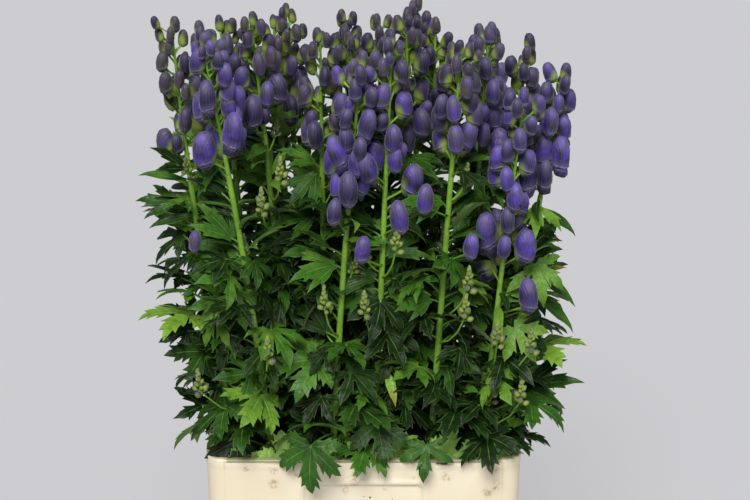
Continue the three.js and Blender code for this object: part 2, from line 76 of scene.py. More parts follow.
# The soil, and the holes in it that the stems stand in
CLEAR = 0.3
SOIL_TOP = TUB_HEIGHT - 45
SOIL_SHOULDER = {"down": 5, "from": 0.93}
SOIL_RINGS = 34
SOIL_SIDES = 132
HOLE_DEPTH = 60
STRAIGHT = SOIL_TOP + 6

# The stems: foot, tip, bow of the line, length of the spike, ripeness of the spike
STEMS = (
    ((-108, -94), (-186, -128, 790), -0.3, 178, 1.0),
    ((-38, -100), (0, -114, 762), -0.45, 196, 0.9),
    ((12, -96), (34, -108, 785), -0.1, 215, 0.8),
    ((80, -94), (114, -112, 776), -0.15, 165, 0.55),
    ((142, -92), (187, -126, 722), -0.25, 255, 1.0),
    ((-150, -52), (-223, -66, 790), 0.45, 185, 0.3),
    ((-84, -46), (-131, -58, 794), -0.2, 150, 0.5),
    ((-122, -8), (-170, -18, 778), 0.1, 160, 0.6),
    ((-46, -44), (-50, -56, 774), 0.1, 170, 0.35),
    ((44, -46), (52, -52, 797), 0.3, 190, 0.45),
    ((118, -48), (146, -60, 776), -0.1, 175, 0.7),
    ((166, -46), (236, -76, 738), -0.2, 170, 0.95),
    ((-76, 18), (-108, 22, 768), 0.1, 150, 0.3),
    ((-18, 10), (-14, 6, 752), 0.1, 150, 0.4),
    ((30, 14), (18, 40, 766), 0.1, 140, 0.25),
    ((78, 12), (86, 14, 768), 0.1, 160, 0.45),
    ((150, 4), (196, -6, 752), -0.1, 180, 0.6),
    ((-140, 62), (-204, 84, 744), 0.2, 170, 0.8),
    ((-66, 78), (-96, 108, 760), 0.1, 160, 0.35),
    ((-4, 74), (-24, 92, 758), 0.1, 165, 0.3),
    ((62, 80), (66, 112, 770), 0.1, 170, 0.6),
    ((126, 68), (154, 92, 742), 0.1, 185, 0.75),
)
STEM_RADII = (4.8, 3.2)
SPIKE_RADII = (2.9, 1.2)
NODE_SPACING = 9

# The buds of a spike, from its tip down
BUDS = 13
TIP_BUDS = 4
BUD_CROWDING = 1.3
YOUNG_BUD_HEIGHT = (16, 32)
RIPE_BUD_HEIGHT = (24, 42)
BUD_VARIETY = (0.9, 1.04)
BUD_STALK = (10, 25)
BUD_RISE = (52, 38)
BUD_LEAN = (65, 83)
BUD_ENDS = (3, 6)
BUD_STRAY = {"tries": 20, "turn": (8, 180), "rise": (6, 22), "stalk": (0.1, 0.25)}
TIP_BUD = {"stalk": 4, "rise": 84, "lean": 87}
STALK_RADIUS = 1.3
TWIST = 137.5
STEM_TWIST = 67

# The plain hood of the frame: inner and outer points of its rings, outwards and up, and half its width
HOOD = (
    {"inner": (-0.12, 0.1), "outer": (0.46, -0.08), "wide": 0.25},
    {"inner": (-0.17, 0.6), "outer": (0.4, 0.6), "wide": 0.26},
)
SMALL_HOOD = {"inner": (-0.28, 0.36), "outer": (0.36, 0.28), "wide": 0.28}
HOOD_TIP = (0.08, 0.94)


def table(terms, *rows):
    """The rows of a table, each as a dictionary of its terms."""
    return tuple(dict(zip(terms, row)) for row in rows)


# The leaves of a stem, from the ground up; reach is from where the lobes meet to the middle lobe's tip
TIER_TERMS = ("shape", "low", "high", "reach", "stalk", "rise", "tilt", "count")
TIERS = table(
    TIER_TERMS,
    ("cut", 0.02, 0.26, (54, 64), (34, 56), (25, 50), (-50, 0), 2),
    ("lobed", 0.2, 0.78, (46, 58), (18, 38), (25, 50), (-52, 6), 5),
    ("bract", 0.76, 0.98, (34, 56), (7, 12), (30, 55), (-10, 50), 3),
)
LOBE_TURN = 52
LOBE_REACH = (1, 0.88, 0.62)
NOTCH_REACH = 0.44
BASE_NOTCH = {"turn": 142, "reach": 0.18}
TOOTH = {"turn": 14, "reach": 0.77}
LEAF_THICKNESS = 1.8
DROOP = 0.22
FOLD = 0.06
ROLL = (-38, 38)
LEAF_STRAY = 0.03
FAN = (180, 85)

# Leaves that stand out by themselves
LEAF_TERMS = ("stem", "z", "shape", "turn", "rise", "stalk", "tilt", "reach", "tint")
KNOWN_LEAVES = table(
    LEAF_TERMS,
    (1, 272, "cut", 242, 12, 62, -66, 62, 0.42),
    (5, 398, "cut", 186, 34, 34, 8, 68, 1.05),
    (11, 352, "cut", 350, 34, 40, 14, 60, 1.1),
    (11, 586, "bract", 4, 30, 8, 12, 56, 0.4),
    (5, 556, "lobed", 176, 40, 10, 16, 46, 0.7),
    (3, 268, "lobed", 262, 14, 50, -62, 44, 0.5),
    (2, 292, "cut", 275, 20, 34, -48, 54, 0.3),
    (0, 300, "cut", 205, 22, 58, -28, 58, 0.3),
    (4, 300, "cut", 338, 26, 60, -16, 58, 0.45),
)
KNOWN_STRAY = {"tries": 8, "z": 8, "turn": 14, "rise": 8, "tilt": 8, "roll": 20}

# Placing: a leaf or bud is tried again, a little smaller each time, until it is clear of all others
SEED = 20261
TRIES = 70
SHRINK = 0.994
SPARE = 0.6
GUARD_SIDES = 8
GUARD_GIRTH = 1.15
ROOT_GIRTH = 0.7

# Further leaves, buds and sprays, which fill the clump out; only their cores are kept clear of the rest
MORE_LEAVES = table(
    TIER_TERMS,
    ("lobed", 0.02, 0.68, (38, 58), (14, 42), (15, 60), (-46, 46)),
    ("cut", 0.0, 0.55, (42, 58), (20, 50), (20, 55), (-42, 42)),
    ("trio", 0.4, 1.0, (46, 66), (8, 26), (25, 65), (-30, 58)),
    ("bract", 0.6, 1.0, (38, 66), (4, 9), (40, 72), (-12, 66)),
)
# Their very low tint darkens these bracts towards the dark leaf colour: painted shade for the dark gaps among
# the spikes
SPIKE_LEAVES = table(
    (*TIER_TERMS[:-1], "tint"),
    ("bract", 0.0, 0.6, (26, 52), (3, 7), (45, 75), (10, 75), 0.08),
)[0]
ALL_ROUND = (0, 360)
MORE_BUDS = {
    "z": (-6, 3),
    "rise": (34, 62),
    "stalk": (8, 24),
    "lean": (58, 88),
    "share": (0.66, 1.02),
    "crowding": 1.15,
    "small": 15,
}

# Pale leaves that stand inside the front wall: place along it, height, lean to the right and reach
RIM_LEAVES = (
    (-160, 251, 68, 26),
    (-120, 247, 18, 28),
    (-96, 246, -4, 50),
    (-78, 251, -66, 28),
    (-47, 245, 12, 34),
    (-2, 246, -22, 34),
    (23, 250, -4, 66),
    (54, 251, 56, 22),
    (68, 247, -18, 30),
    (100, 250, 12, 50),
    (131, 250, -12, 34),
    (157, 254, 66, 26),
)
# Their high tint lightens them: painted light that makes up for the shade of the leaves hanging over them
RIM_LEAF = {"shape": "cut", "turn": 270, "rise": 20, "tint": 1.1}
RIM_STAND = {"back": 14, "lean": 0.12, "sway": 0.2, "root": 224}

# Leaves and sprays that show at the clump's sides and front, added to the frame's own
FINE_LEAVES = table(
    LEAF_TERMS,
    (11, 568, "bract", 2, 30, 8, 0, 66, 0.45),
    (11, 548, "bract", 350, 30, 6, -24, 50, 0.4),
    (11, 468, "bract", 338, 30, 6, -14, 62, 0.4),
    (11, 452, "bract", 352, 45, 30, 24, 32, 1.4),
    (11, 436, "bract", 350, 20, 12, -34, 74, 0.5),
    (11, 316, "trio", 352, 20, 26, 10, 74, 0.3),
    (4, 290, "trio", 348, 25, 48, 14, 56, 0.45),
    (5, 348, "trio", 196, 15, 22, -30, 74, 0.3),
    (5, 540, "bract", 200, 30, 6, -6, 52, 0.35),
    (3, 590, "bract", 262, 60, 6, 76, 56, 0.95),
    (2, 352, "bract", 300, 40, 30, -40, 46, 1.4),
    (1, 360, "cut", 198, 35, 32, 2, 66, 0.6),
    (3, 330, "cut", 320, 30, 28, -8, 58, 0.3),
    (0, 380, "cut", 215, 30, 30, 4, 62, 0.5),
    # The leaves below, on stems in the middle and at the back, have a low tint that darkens them: painted
    # shade of the clump's back
    (7, 552, "trio", 10, 40, 12, 10, 62, 0.15),
    (12, 566, "trio", 185, 40, 12, 12, 62, 0.1),
    (17, 545, "trio", 350, 45, 16, 22, 66, 0.1),
    (18, 556, "trio", 190, 50, 16, 26, 66, 0.1),
    (18, 588, "trio", 10, 60, 20, 58, 64, 0.1),
    (19, 582, "trio", 172, 60, 20, 60, 64, 0.1),
    (0, 500, "trio", 160, 35, 10, 22, 62, 0.5),
    (1, 520, "trio", 20, 45, 8, 34, 62, 0.6),
    (2, 470, "trio", 170, 35, 10, 10, 60, 0.4),
)
FINE_STRAY = {"z": 12, "turn": 16, "rise": 16, "roll": 30, "tilt": 16}

# Each spray's stem, and the place along the front and the height that it starts at
FINE_SPRAYS = (
    (1, -45, 457),
    (3, 119, 447),
    (3, 122, 482),
    (4, 157, 413),
    (0, -193, 353),
    (0, -113, 394),
    (2, 38, 531),
    (6, -95, 616),
    (6, -117, 578),
    (2, 2, 451),
    (4, 196, 404),
    (4, 186, 340),
)

# Single hoods below the spikes: stem, place along the front, height of their foot, and length
FINE_BUDS = (
    (2, 40, 557, 38),
    (2, 1, 517, 31),
    (3, 75, 580, 34),
    (3, 121, 523, 30),
    (1, -32, 565, 30),
    (4, 189, 457, 38),
    (5, -196, 531, 25),
)

# How far forward the ends of those sprays and hoods stand, how far below them their stalks start, and the
# room round each that a further leaf keeps out of
SPRAY_FRONT = -150
SPRAY_DROP = 52
BUD_FRONT = -140
BUD_DROP = 24
FRONT_LEAN = 84
SHOWN = {"half": 13, "below": 20, "above": 34, "behind": 8}

# Between these heights nothing further grows just in front of the five front stems
IN_VIEW = {"stems": 5, "low": 380, "high": 620, "half": 9}

# Hanging leaves stay out of the front wall's top, seen from a little above
FRINGE = {"half": 178, "slope": 0.45, "lowest": 300}

# The share of a further leaf or bud that is kept clear, and how a further leaf is set on its stem
LEAF_CORE = 0.36
BUD_CORE = 0.66
LOBE_SPOTS = (0, 0.35, 0.7, 1)
MORE_SPACING = 2.5
BACK_SHARE = 1.9
MORE_TRIES = 18
MORE_ORDER = 100
FACING = {"more": 22, "fine": 38}
SPRAY_ORDER = 400
SPRAYS = {
    "low": 0.3,
    "high": 0.97,
    "stray": (-0.02, 0.02),
    "height": (13, 20),
    "stalk": (12, 32),
    "rise": (35, 60),
}

# The kinds of points in a plant's skeleton
LINE, BLADE, BUD = range(3)


# Growth


def draw(*keys):
    """The same whole numbers always draw the same share between 0 and 1."""
    mixed = SEED
    for key in keys:
        mixed = ((mixed ^ key) * 0x9E3779B1) & 0xFFFFFFFF
        mixed ^= mixed >> 15
        mixed = (mixed * 0x85EBCA77) & 0xFFFFFFFF
        mixed ^= mixed >> 13
    return mixed / 2**32


def mix(ends, share):
    return ends[0] + (ends[1] - ends[0]) * share


def picking(index, order, attempt):
    """A function that picks between two ends; each kind of pick has a key of its own."""
    return lambda ends, key: mix(ends, draw(index, order, key, attempt))


def unit(vector):
    return vector / np.linalg.norm(vector)


def pointing(turn, rise):
    """A direction turned round the vertical and raised from the level, both in degrees."""
    flat = math.cos(math.radians(rise))
    turned = math.radians(turn)
    return np.array((flat * math.cos(turned), flat * math.sin(turned), math.sin(math.radians(rise))))


def turned_about(vector, axis, degrees):
    angle = math.radians(degrees)
    across = np.cross(axis, vector)
    along = axis * (axis @ vector)
    return vector * math.cos(angle) + across * math.sin(angle) + along * (1 - math.cos(angle))


def line_at(stem, z):
    foot, head, bow = stem[:3]
    share = max(0, (z - STRAIGHT) / (head[2] - STRAIGHT))
    lean = share + bow * share * (1 - share)
    return np.array((mix((foot[0], head[0]), lean), mix((foot[1], head[1]), lean), z), float)


def spike_foot(stem):
    return stem[1][2] - stem[3]


def bud_height(stem, down):
    return mix((mix(YOUNG_BUD_HEIGHT, down), mix(RIPE_BUD_HEIGHT, down)), stem[4])


def girth_at(bearer, z):
    return mix(bearer["radii"], (z - bearer["from"]) / (bearer["to"] - bearer["from"]))


def level_ring(bearer, z, sides, girth):
    angles = 2 * math.pi * np.arange(sides) / sides
    circle = np.stack([np.cos(angles), np.sin(angles), np.zeros(sides)], axis=1)
    return line_at(bearer["stem"], z) + girth * circle


def loft(rings):
    """A closed surface through rings of points: its points and its faces."""
    points = np.concatenate(rings)
    faces = [(0, side, side - 1) for side in range(2, len(rings[0]))]
    low = 0
    for lower, upper in zip(rings, rings[1:]):
        high = low + len(lower)
        i = 1 if len(lower) == 1 else 0
        j = 1 if len(upper) == 1 else 0
        while i < len(lower) or j < len(upper):
            here = (low + i % len(lower), high + j % len(upper))
            if j >= len(upper) or (i < len(lower) and (i + 1) * len(upper) <= (j + 1) * len(lower)):
                i += 1
                faces.append((here[0], low + i % len(lower), here[1]))
            else:
                j += 1
                faces.append((here[0], high + j % len(upper), here[1]))
        low = high
    faces += [(low, low + side - 1, low + side) for side in range(2, len(rings[-1]))]
    return points, faces


def lobed_outline(cut):
    outline = [(-BASE_NOTCH["turn"], BASE_NOTCH["reach"], FOLD)]
    for lobe in range(-2, 3):
        angle = lobe * LOBE_TURN
        reach = LOBE_REACH[abs(lobe)]
        toothed = cut and abs(lobe) < 2
        if toothed:
            outline.append((angle - TOOTH["turn"], reach * TOOTH["reach"], 0))
        outline.append((angle, reach, 0))
        if toothed:
            outline.append((angle + TOOTH["turn"], reach * TOOTH["reach"], 0))
        if lobe < 2:
            outline.append((angle + LOBE_TURN / 2, NOTCH_REACH, FOLD))
    outline.append((BASE_NOTCH["turn"], BASE_NOTCH["reach"], FOLD))
    return outline


def even_outline(*side):
    """An outline that is the same on both sides, from the points of one side."""
    return [*((-angle, reach, fold) for angle, reach, fold in side), (0, 1, 0), *reversed(side)]


OUTLINES = {
    "cut": lobed_outline(True),
    "lobed": lobed_outline(False),
    "trio": even_outline((112, 0.12, FOLD), (36, 0.88, 0), (18, 0.3, FOLD)),
    "bract": even_outline((100, 0.16, FOLD), (20, 0.46, FOLD)),
}


def stalk_ring(centre, way, side, radius):
    across = np.cross(way, side)
    angles = np.radians((-150, -30, 90))[:, None]
    return centre + radius * (side * np.cos(angles) + across * np.sin(angles))


def leaf_axes(place):
    """A leaf's directions: forwards along its middle lobe, across, and out of its upper face."""
    if "axes" in place:
        return place["axes"]
    forward = pointing(place["turn"], place["tilt"])
    across = turned_about(pointing(place["turn"] + 90, 0), forward, place["roll"])
    return forward, across, np.cross(forward, across)


def stalk_end(place):
    if "end" in place:
        return place["end"]
    return place["root"] + pointing(place["turn"], place["rise"]) * place["stalk"]


def leaf_form(base, place, swell, shift):
    """The frame's plain leaf on its base triangle."""
    forward, across, normal = leaf_axes(place)
    centre = stalk_end(place) + normal * shift
    edge = []
    for angle, share, fold in OUTLINES[place["shape"]]:
        length = share * place["reach"] + swell
        lift = (fold - DROOP * share * share) * place["reach"]
        turned = math.radians(angle)
        flat = forward * math.cos(turned) + across * math.sin(turned)
        edge.append(centre + length * flat + normal * lift)
    half = LEAF_THICKNESS / 2 + swell
    points = np.array([*base, centre + normal * half, centre - normal * half, *edge])
    last = len(points) - 1
    faces = [(0, 1, 4), (1, 2, last), (2, 0, 5), (1, last, 4), (0, 4, 5), (last, 2, 3), (2, 5, 3)]
    for at in range(5, last):
        faces += [(3, at, at + 1), (4, at + 1, at)]
    return points, faces


def bud_axes(place):
    """A bud's directions: outwards from its spike, sideways, and up along the bud."""
    out = pointing(place["turn"], place["lean"] - 90)
    return out, pointing(place["turn"] + 90, 0), pointing(place["turn"], place["lean"])


def bud_form(base, place, swell, _shift):
    """The frame's plain bud on its base triangle."""
    out, side, up = bud_axes(place)
    end = stalk_end(place)
    height = place["height"]

    def at(spot):
        return end + height * (out * spot[0] + up * spot[1])

    def hood_ring(ring):
        near = at(ring["inner"]) - out * swell
        far = at(ring["outer"]) + out * swell
        half = side * (ring["wide"] * height + swell)
        middle = (near + far) / 2
        return np.array((middle - half, far, middle + half, near))

    tip = [at(HOOD_TIP) + up * swell]
    if place["small"]:
        rings = [base, hood_ring(SMALL_HOOD), tip]
    else:
        way = pointing(place["turn"], place["rise"])
        rings = [base, stalk_ring(end, way, side, STALK_RADIUS + swell), *map(hood_ring, HOOD), tip]
    points, faces = loft(rings)
    return points, faces[1:]


def closed_shape(points, faces):
    """What the clearness test needs of a shape: its box, its edges once each, and its triangles."""
    faces = np.array(faces)
    ends = np.concatenate([faces[:, [0, 1]], faces[:, [1, 2]], faces[:, [2, 0]]])
    ends = np.unique(ends[ends[:, 0] < ends[:, 1]], axis=0)
    low, high = points.min(axis=0), points.max(axis=0)
    return {"low": low, "high": high, "edges": points[ends], "triangles": points[faces]}


def cross(a, b):
    x = a[..., 1] * b[..., 2] - a[..., 2] * b[..., 1]
    y = a[..., 2] * b[..., 0] - a[..., 0] * b[..., 2]
    z = a[..., 0] * b[..., 1] - a[..., 1] * b[..., 0]
    return np.stack([x, y, z], axis=-1)


def dot(a, b):
    return a[..., 0] * b[..., 0] + a[..., 1] * b[..., 1] + a[..., 2] * b[..., 2]


# An edge and a triangle closer to level than this don't meet
LEVEL = 1e-9


def pierced(edges, triangles):
    """Whether any of these edges passes through any of these triangles."""
    start = edges[:, None, 0]
    span = edges[:, None, 1] - start
    corner = triangles[None, :, 0]
    side_one = triangles[None, :, 1] - corner
    side_two = triangles[None, :, 2] - corner
    normal_one = cross(span, side_two)
    size = dot(side_one, normal_one)
    level = np.abs(size) < LEVEL
    size = np.where(level, np.inf, size)
    away = start - corner
    u = dot(away, normal_one) / size
    normal_two = cross(away, side_one)
    v = dot(span, normal_two) / size
    t = dot(side_two, normal_two) / size
    hit = ~level & (u >= 0) & (u <= 1) & (v >= 0) & (u + v <= 1) & (t >= 0) & (t <= 1)
    return bool(hit.any())


def crosses(shape, others):
    """Whether a shape's surface meets that of any other."""

    def near(parts):
        inside = (parts.min(axis=1) <= shape["high"]) & (parts.max(axis=1) >= shape["low"])
        return parts[inside.all(axis=1)]

    if not others:
        return False
    triangles = near(np.concatenate([other["triangles"] for other in others]))
    if len(triangles) and pierced(shape["edges"], triangles):
        return True
    edges = near(np.concatenate([other["edges"] for other in others]))
    return bool(len(edges)) and pierced(edges, shape["triangles"])


class Thicket:
    """Everything that is in place."""

    def __init__(self):
        self.shapes = []
        self.lows = np.empty((0, 3))
        self.highs = np.empty((0, 3))

    def add(self, shape):
        self.shapes.append(shape)
        self.lows = np.vstack([self.lows, shape["low"]])
        self.highs = np.vstack([self.highs, shape["high"]])

    def meets(self, shape, skip):
        near = np.all((self.lows <= shape["high"]) & (self.highs >= shape["low"]), axis=1)
        return crosses(shape, [self.shapes[i] for i in np.flatnonzero(near) if i != skip])


def trial(bearer, form, place, swell, shift):
    """A leaf or bud as it is tried: whole, and its free end, which is clear of its own axis."""
    side = pointing(place["turn"] + 90, 0)
    girth = girth_at(bearer, place["root"][2]) * ROOT_GIRTH + swell
    base = stalk_ring(place["root"], pointing(place["turn"], place["rise"]), side, girth)
    points, faces = form(base, place, swell, shift)
    free = [face for face in faces if min(face) > 2]
    return closed_shape(points, [(0, 2, 1), *faces]), closed_shape(points, free)


def is_clear(thicket, bearer, form, place, shift):
    whole, free = trial(bearer, form, place, SPARE, shift)
    if whole["low"][2] < SOIL_TOP + 1 and abs(whole["low"][1]) < TUB_DEPTH / 2:
        return False
    if thicket.meets(whole, bearer["guard"]):
        return False
    return not crosses(free, [thicket.shapes[bearer["guard"]]])


def settle(thicket, bearer, form, propose):
    """Tries a leaf or bud until it is clear of everything in place."""
    leafy = form is leaf_form
    for attempt in range(TRIES):
        place = propose(attempt)
        heights = [abs(other["root"][2] - place["root"][2]) for other in bearer["organs"]]
        if leafy and min(heights, default=math.inf) < NODE_SPACING:
            continue
        shifts = (-SPARE, SPARE) if leafy else (0,)
        if not all(is_clear(thicket, bearer, form, place, shift) for shift in shifts):
            continue
        thicket.add(trial(bearer, form, place, 0, 0)[0])
        bearer["organs"].append(place)
        return


def hides_something(place):
    """Whether a leaf lies just in front of a front stem, or of a spray or single hood that shows."""
    forward = leaf_axes(place)[0] * place["reach"]
    for share in LOBE_SPOTS:
        x, y, z = stalk_end(place) + forward * share
        for stem in STEMS[: IN_VIEW["stems"]]:
            centre = line_at(stem, z)
            in_front = y < centre[1] and abs(x - centre[0]) < IN_VIEW["half"]
            if in_front and IN_VIEW["low"] < z < IN_VIEW["high"]:
                return True
        for _, shown_x, shown_z, *_ in (*FINE_SPRAYS, *FINE_BUDS):
            level = -SHOWN["below"] < z - shown_z < SHOWN["above"]
            if level and y < SPRAY_FRONT + SHOWN["behind"] and abs(x - shown_x) < SHOWN["half"]:
                return True
    return False


def hangs_in_front(place):
    x, y, z = stalk_end(place) + leaf_axes(place)[0] * place["reach"]
    level = z + FRINGE["slope"] * (y + TUB_DEPTH / 2)
    over_front = abs(x) < FRINGE["half"] and y < 0 and level < FRINGE["lowest"]
    return over_front or z < TUB_HEIGHT


def unwanted(place):
    return "tint" not in place and (hangs_in_front(place) or hides_something(place))


def settle_core(thicket, bearer, form, propose):
    """Tries a further leaf or bud until its core is clear; its tips may touch its neighbours."""
    for attempt in range(MORE_TRIES):
        place = propose(attempt)
        heights = [abs(other["root"][2] - place["root"][2]) for other in bearer["organs"]]
        if form is leaf_form and (min(heights, default=math.inf) < MORE_SPACING or unwanted(place)):
            continue
        size, part = ("reach", LEAF_CORE) if form is leaf_form else ("height", BUD_CORE)
        core = place | {size: place[size] * part}
        if not is_clear(thicket, bearer, form, core, 0):
            continue
        thicket.add(trial(bearer, form, core, 0, 0)[0])
        bearer["organs"].append(place)
        return


def settle_bud(thicket, bearer, number):
    stem, index = bearer["stem"], bearer["index"]
    down = (number / (BUDS - 1)) ** BUD_CROWDING
    z = mix((bearer["to"] - BUD_ENDS[0], bearer["from"] + BUD_ENDS[1]), down)
    size = bud_height(stem, down) * mix(BUD_VARIETY, draw(index, number, 0))

    def propose(attempt):
        wide = min(1, attempt / BUD_STRAY["tries"])

        def stray(key):
            return draw(index, number, key, attempt) * 2 - 1

        place = {
            "root": line_at(stem, z + stray(1) * wide),
            "turn": number * TWIST + index * STEM_TWIST + stray(2) * mix(BUD_STRAY["turn"], wide),
            "rise": mix(BUD_RISE, down) + stray(3) * mix(BUD_STRAY["rise"], wide),
            "stalk": mix(BUD_STALK, down) * (1 + stray(4) * mix(BUD_STRAY["stalk"], wide)),
            "lean": mix(BUD_LEAN, draw(index, number, 5, attempt)),
            "height": size * SHRINK**attempt,
            "small": number < TIP_BUDS,
            "down": down,
        }
        return place | TIP_BUD if number == 0 else place

    settle(thicket, bearer, bud_form, propose)


def settle_known_leaf(thicket, bearer, known, number):
    def propose(attempt):
        wide = min(1, attempt / KNOWN_STRAY["tries"])

        def stray(key):
            return (draw(bearer["index"], number, key, attempt) * 2 - 1) * wide

        return known | {
            "root": line_at(bearer["stem"], known["z"] + stray(11) * KNOWN_STRAY["z"]),
            "turn": known["turn"] + stray(12) * KNOWN_STRAY["turn"],
            "rise": known["rise"] + stray(13) * KNOWN_STRAY["rise"],
            "tilt": known["tilt"] + stray(14) * KNOWN_STRAY["tilt"],
            "roll": stray(15) * KNOWN_STRAY["roll"],
            "reach": known["reach"] * SHRINK**attempt,
        }

    settle(thicket, bearer, leaf_form, propose)


def settle_leaf(thicket, bearer, tier, number, order, count, settler=settle):
    stem, index = bearer["stem"], bearer["index"]
    foot = max(STRAIGHT, bearer["from"])
    x, y = stem[0]
    outward = math.degrees(math.atan2(y, x))
    outer = min(1, math.hypot(2 * x / TUB_WIDTH, 2 * y / TUB_DEPTH))
    fan = mix(FAN, outer)
    share = mix((tier["low"], tier["high"]), (number + 0.5) / count)
    reach = mix(tier["reach"], draw(index, order, 20))
    first = settler is settle
    top = spike_foot(stem) if first else bearer["to"]

    def propose(attempt):
        pick = picking(index, order, attempt)
        height = share + pick((-LEAF_STRAY, LEAF_STRAY), 21)
        turn = outward + pick((-fan, fan), 22)
        facing = 0 if first else FACING["more"] * math.cos(math.radians(turn))
        place = {
            "shape": tier["shape"],
            "root": line_at(stem, mix((foot, top), height)),
            "turn": turn,
            "rise": pick(tier["rise"], 23),
            "stalk": pick(tier["stalk"], 24),
            "tilt": pick(tier["tilt"], 25),
            "roll": pick(ROLL, 26) + facing,
            "reach": reach * SHRINK**attempt,
        }
        return place | {"tint": tier["tint"]} if "tint" in tier else place

    settler(thicket, bearer, leaf_form, propose)


def put(thicket, bearer, form, place):
    """Sets a leaf or bud in its place without trying whether it is clear."""
    thicket.add(trial(bearer, form, place, 0, 0)[0])
    bearer["organs"].append(place)


def put_rim_leaf(thicket, stems, known):
    """A leaf that stands against the front wall with its back to the front."""
    x, z, lean, reach = known
    end = np.array((x, RIM_STAND["back"] - TUB_DEPTH / 2, z), float)
    bearer = min(stems, key=lambda other: np.linalg.norm(line_at(other["stem"], z) - end))
    forward = unit(np.array((math.sin(math.radians(lean)), RIM_STAND["lean"], math.cos(math.radians(lean)))))
    across = unit(np.cross((RIM_STAND["sway"] * math.sin(x), 1, 0), forward))
    place = RIM_LEAF | {
        "root": line_at(bearer["stem"], RIM_STAND["root"]),
        "end": end,
        "axes": (forward, across, np.cross(forward, across)),
        "reach": reach,
    }
    put(thicket, bearer, leaf_form, place)


def settle_fine_leaf(thicket, bearer, known, number):
    facing = FACING["fine"] * math.cos(math.radians(known["turn"]))

    def propose(attempt):
        def stray(key, term):
            return (draw(number, key, attempt) * 2 - 1) * FINE_STRAY[term] * attempt / MORE_TRIES

        return known | {
            "root": line_at(bearer["stem"], known["z"] + stray(81, "z")),
            "turn": known["turn"] + stray(82, "turn"),
            "rise": known["rise"] + stray(83, "rise"),
            "roll": facing + stray(84, "roll"),
            "tilt": known["tilt"] + stray(85, "tilt"),
        }

    settle_core(thicket, bearer, leaf_form, propose)


def put_in_front(thicket, bearer, end, drop, height, **more):
    """A spray or a single hood that shows at the front of the clump."""
    end = np.array(end, float)
    root = line_at(bearer["stem"], end[2] - drop)
    way = end - root
    flat = math.hypot(way[0], way[1])
    place = {
        "root": root,
        "end": end,
        "stalk": flat,
        "turn": math.degrees(math.atan2(way[1], way[0])),
        "rise": math.degrees(math.atan2(way[2], flat)),
        "lean": FRONT_LEAN,
        "height": height,
        "small": False,
    }
    put(thicket, bearer, bud_form, place | more)


def settle_more_bud(thicket, bearer, number, count):
    """A smaller bud that comes between the others."""
    stem, index = bearer["stem"], bearer["index"]
    order = MORE_ORDER + number
    down = ((number + draw(index, order, 40)) / count) ** MORE_BUDS["crowding"]
    z = mix((bearer["to"] - BUD_ENDS[1], bearer["from"] + BUD_ENDS[1]), down)
    size = bud_height(stem, down) * mix(MORE_BUDS["share"], draw(index, order, 41))

    def propose(attempt):
        pick = picking(index, order, attempt)
        return {
            "root": line_at(stem, z + pick(MORE_BUDS["z"], 42)),
            "turn": pick(ALL_ROUND, 43),
            "rise": pick(MORE_BUDS["rise"], 44),
            "stalk": pick(MORE_BUDS["stalk"], 45),
            "lean": pick(MORE_BUDS["lean"], 46),
            "height": size * SHRINK**attempt,
            "small": size < MORE_BUDS["small"],
            "down": down,
        }

    settle_core(thicket, bearer, bud_form, propose)


def settle_spray(thicket, bearer, number, count):
    """A short side spray of green buds takes the room of one larger bud."""
    stem, index = bearer["stem"], bearer["index"]
    share = mix((SPRAYS["low"], SPRAYS["high"]), (number + draw(index, SPRAY_ORDER, number)) / count)

    def propose(attempt):
        pick = picking(index, SPRAY_ORDER + number, attempt)
        return {
            "root": line_at(stem, mix((STRAIGHT, spike_foot(stem)), share + pick(SPRAYS["stray"], 31))),
            "turn": pick(ALL_ROUND, 32),
            "rise": pick(SPRAYS["rise"], 33),
            "stalk": pick(SPRAYS["stalk"], 34),
            "lean": pick(BUD_LEAN, 35),
            "height": pick(SPRAYS["height"], 36),
            "small": False,
            "spray": True,
        }

    settle_core(thicket, bearer, bud_form, propose)


def inner_inset(z):
    return mix((FOOT_INSET, NECK_INSET), (z - TUB_FLOOR) / (NECK - TUB_FLOOR)) + TUB_WALL


CORNERS = ((1, 1), (-1, 1), (-1, -1), (1, -1))


def tub_ring(inset, z, steps):
    """A level ring of the tub, a given inset in from the rim's outer edge."""
    width, depth = TUB_WIDTH - 2 * inset, TUB_DEPTH - 2 * inset
    corner = TUB_CORNER - inset
    ring = []
    for quarter, (side_x, side_y) in enumerate(CORNERS):
        for step in range(steps + 1):
            angle = math.radians(90 * (quarter + step / steps))
            x = side_x * (width / 2 - corner) + corner * math.cos(angle)
            y = side_y * (depth / 2 - corner) + corner * math.sin(angle)
            ring.append((x, y, z))
    return np.array(ring, float)


def plain_tub():
    profile = [
        (FOOT_INSET + FOOT_BEVEL["inwards"], 0),
        (FOOT_INSET, FOOT_BEVEL["up"]),
        (NECK_INSET, NECK),
        (0, NECK + NECK_INSET),
        (0, TUB_HEIGHT - RIM_BEVEL),
        (RIM_BEVEL, TUB_HEIGHT),
        (RIM_WIDTH, TUB_HEIGHT),
        (RIM_WIDTH, TUB_HEIGHT - RIM_DEPTH),
        (inner_inset(NECK), NECK),
        (inner_inset(TUB_FLOOR), TUB_FLOOR),
    ]
    return loft([tub_ring(inset, z, PLAIN_CORNER_STEPS) for inset, z in profile])


def guard_tube(bearer):
    above = max(bearer["from"], STRAIGHT)
    heights = [mix((above, bearer["to"]), share) for share in (0, 1 / 3, 2 / 3, 1)]
    if above > bearer["from"]:
        heights.insert(0, bearer["from"])
    return loft([level_ring(bearer, z, GUARD_SIDES, girth_at(bearer, z) * GUARD_GIRTH) for z in heights])


def bearer_of(thicket, stem, index, radii, low, high):
    """What carries leaves or buds: a leafy stem, or a spike's own axis."""
    bearer = {"stem": stem, "index": index, "radii": radii, "from": low, "to": high, "organs": []}
    bearer["guard"] = len(thicket.shapes)
    points, faces = guard_tube(bearer)
    thicket.add(closed_shape(points, faces))
    return bearer


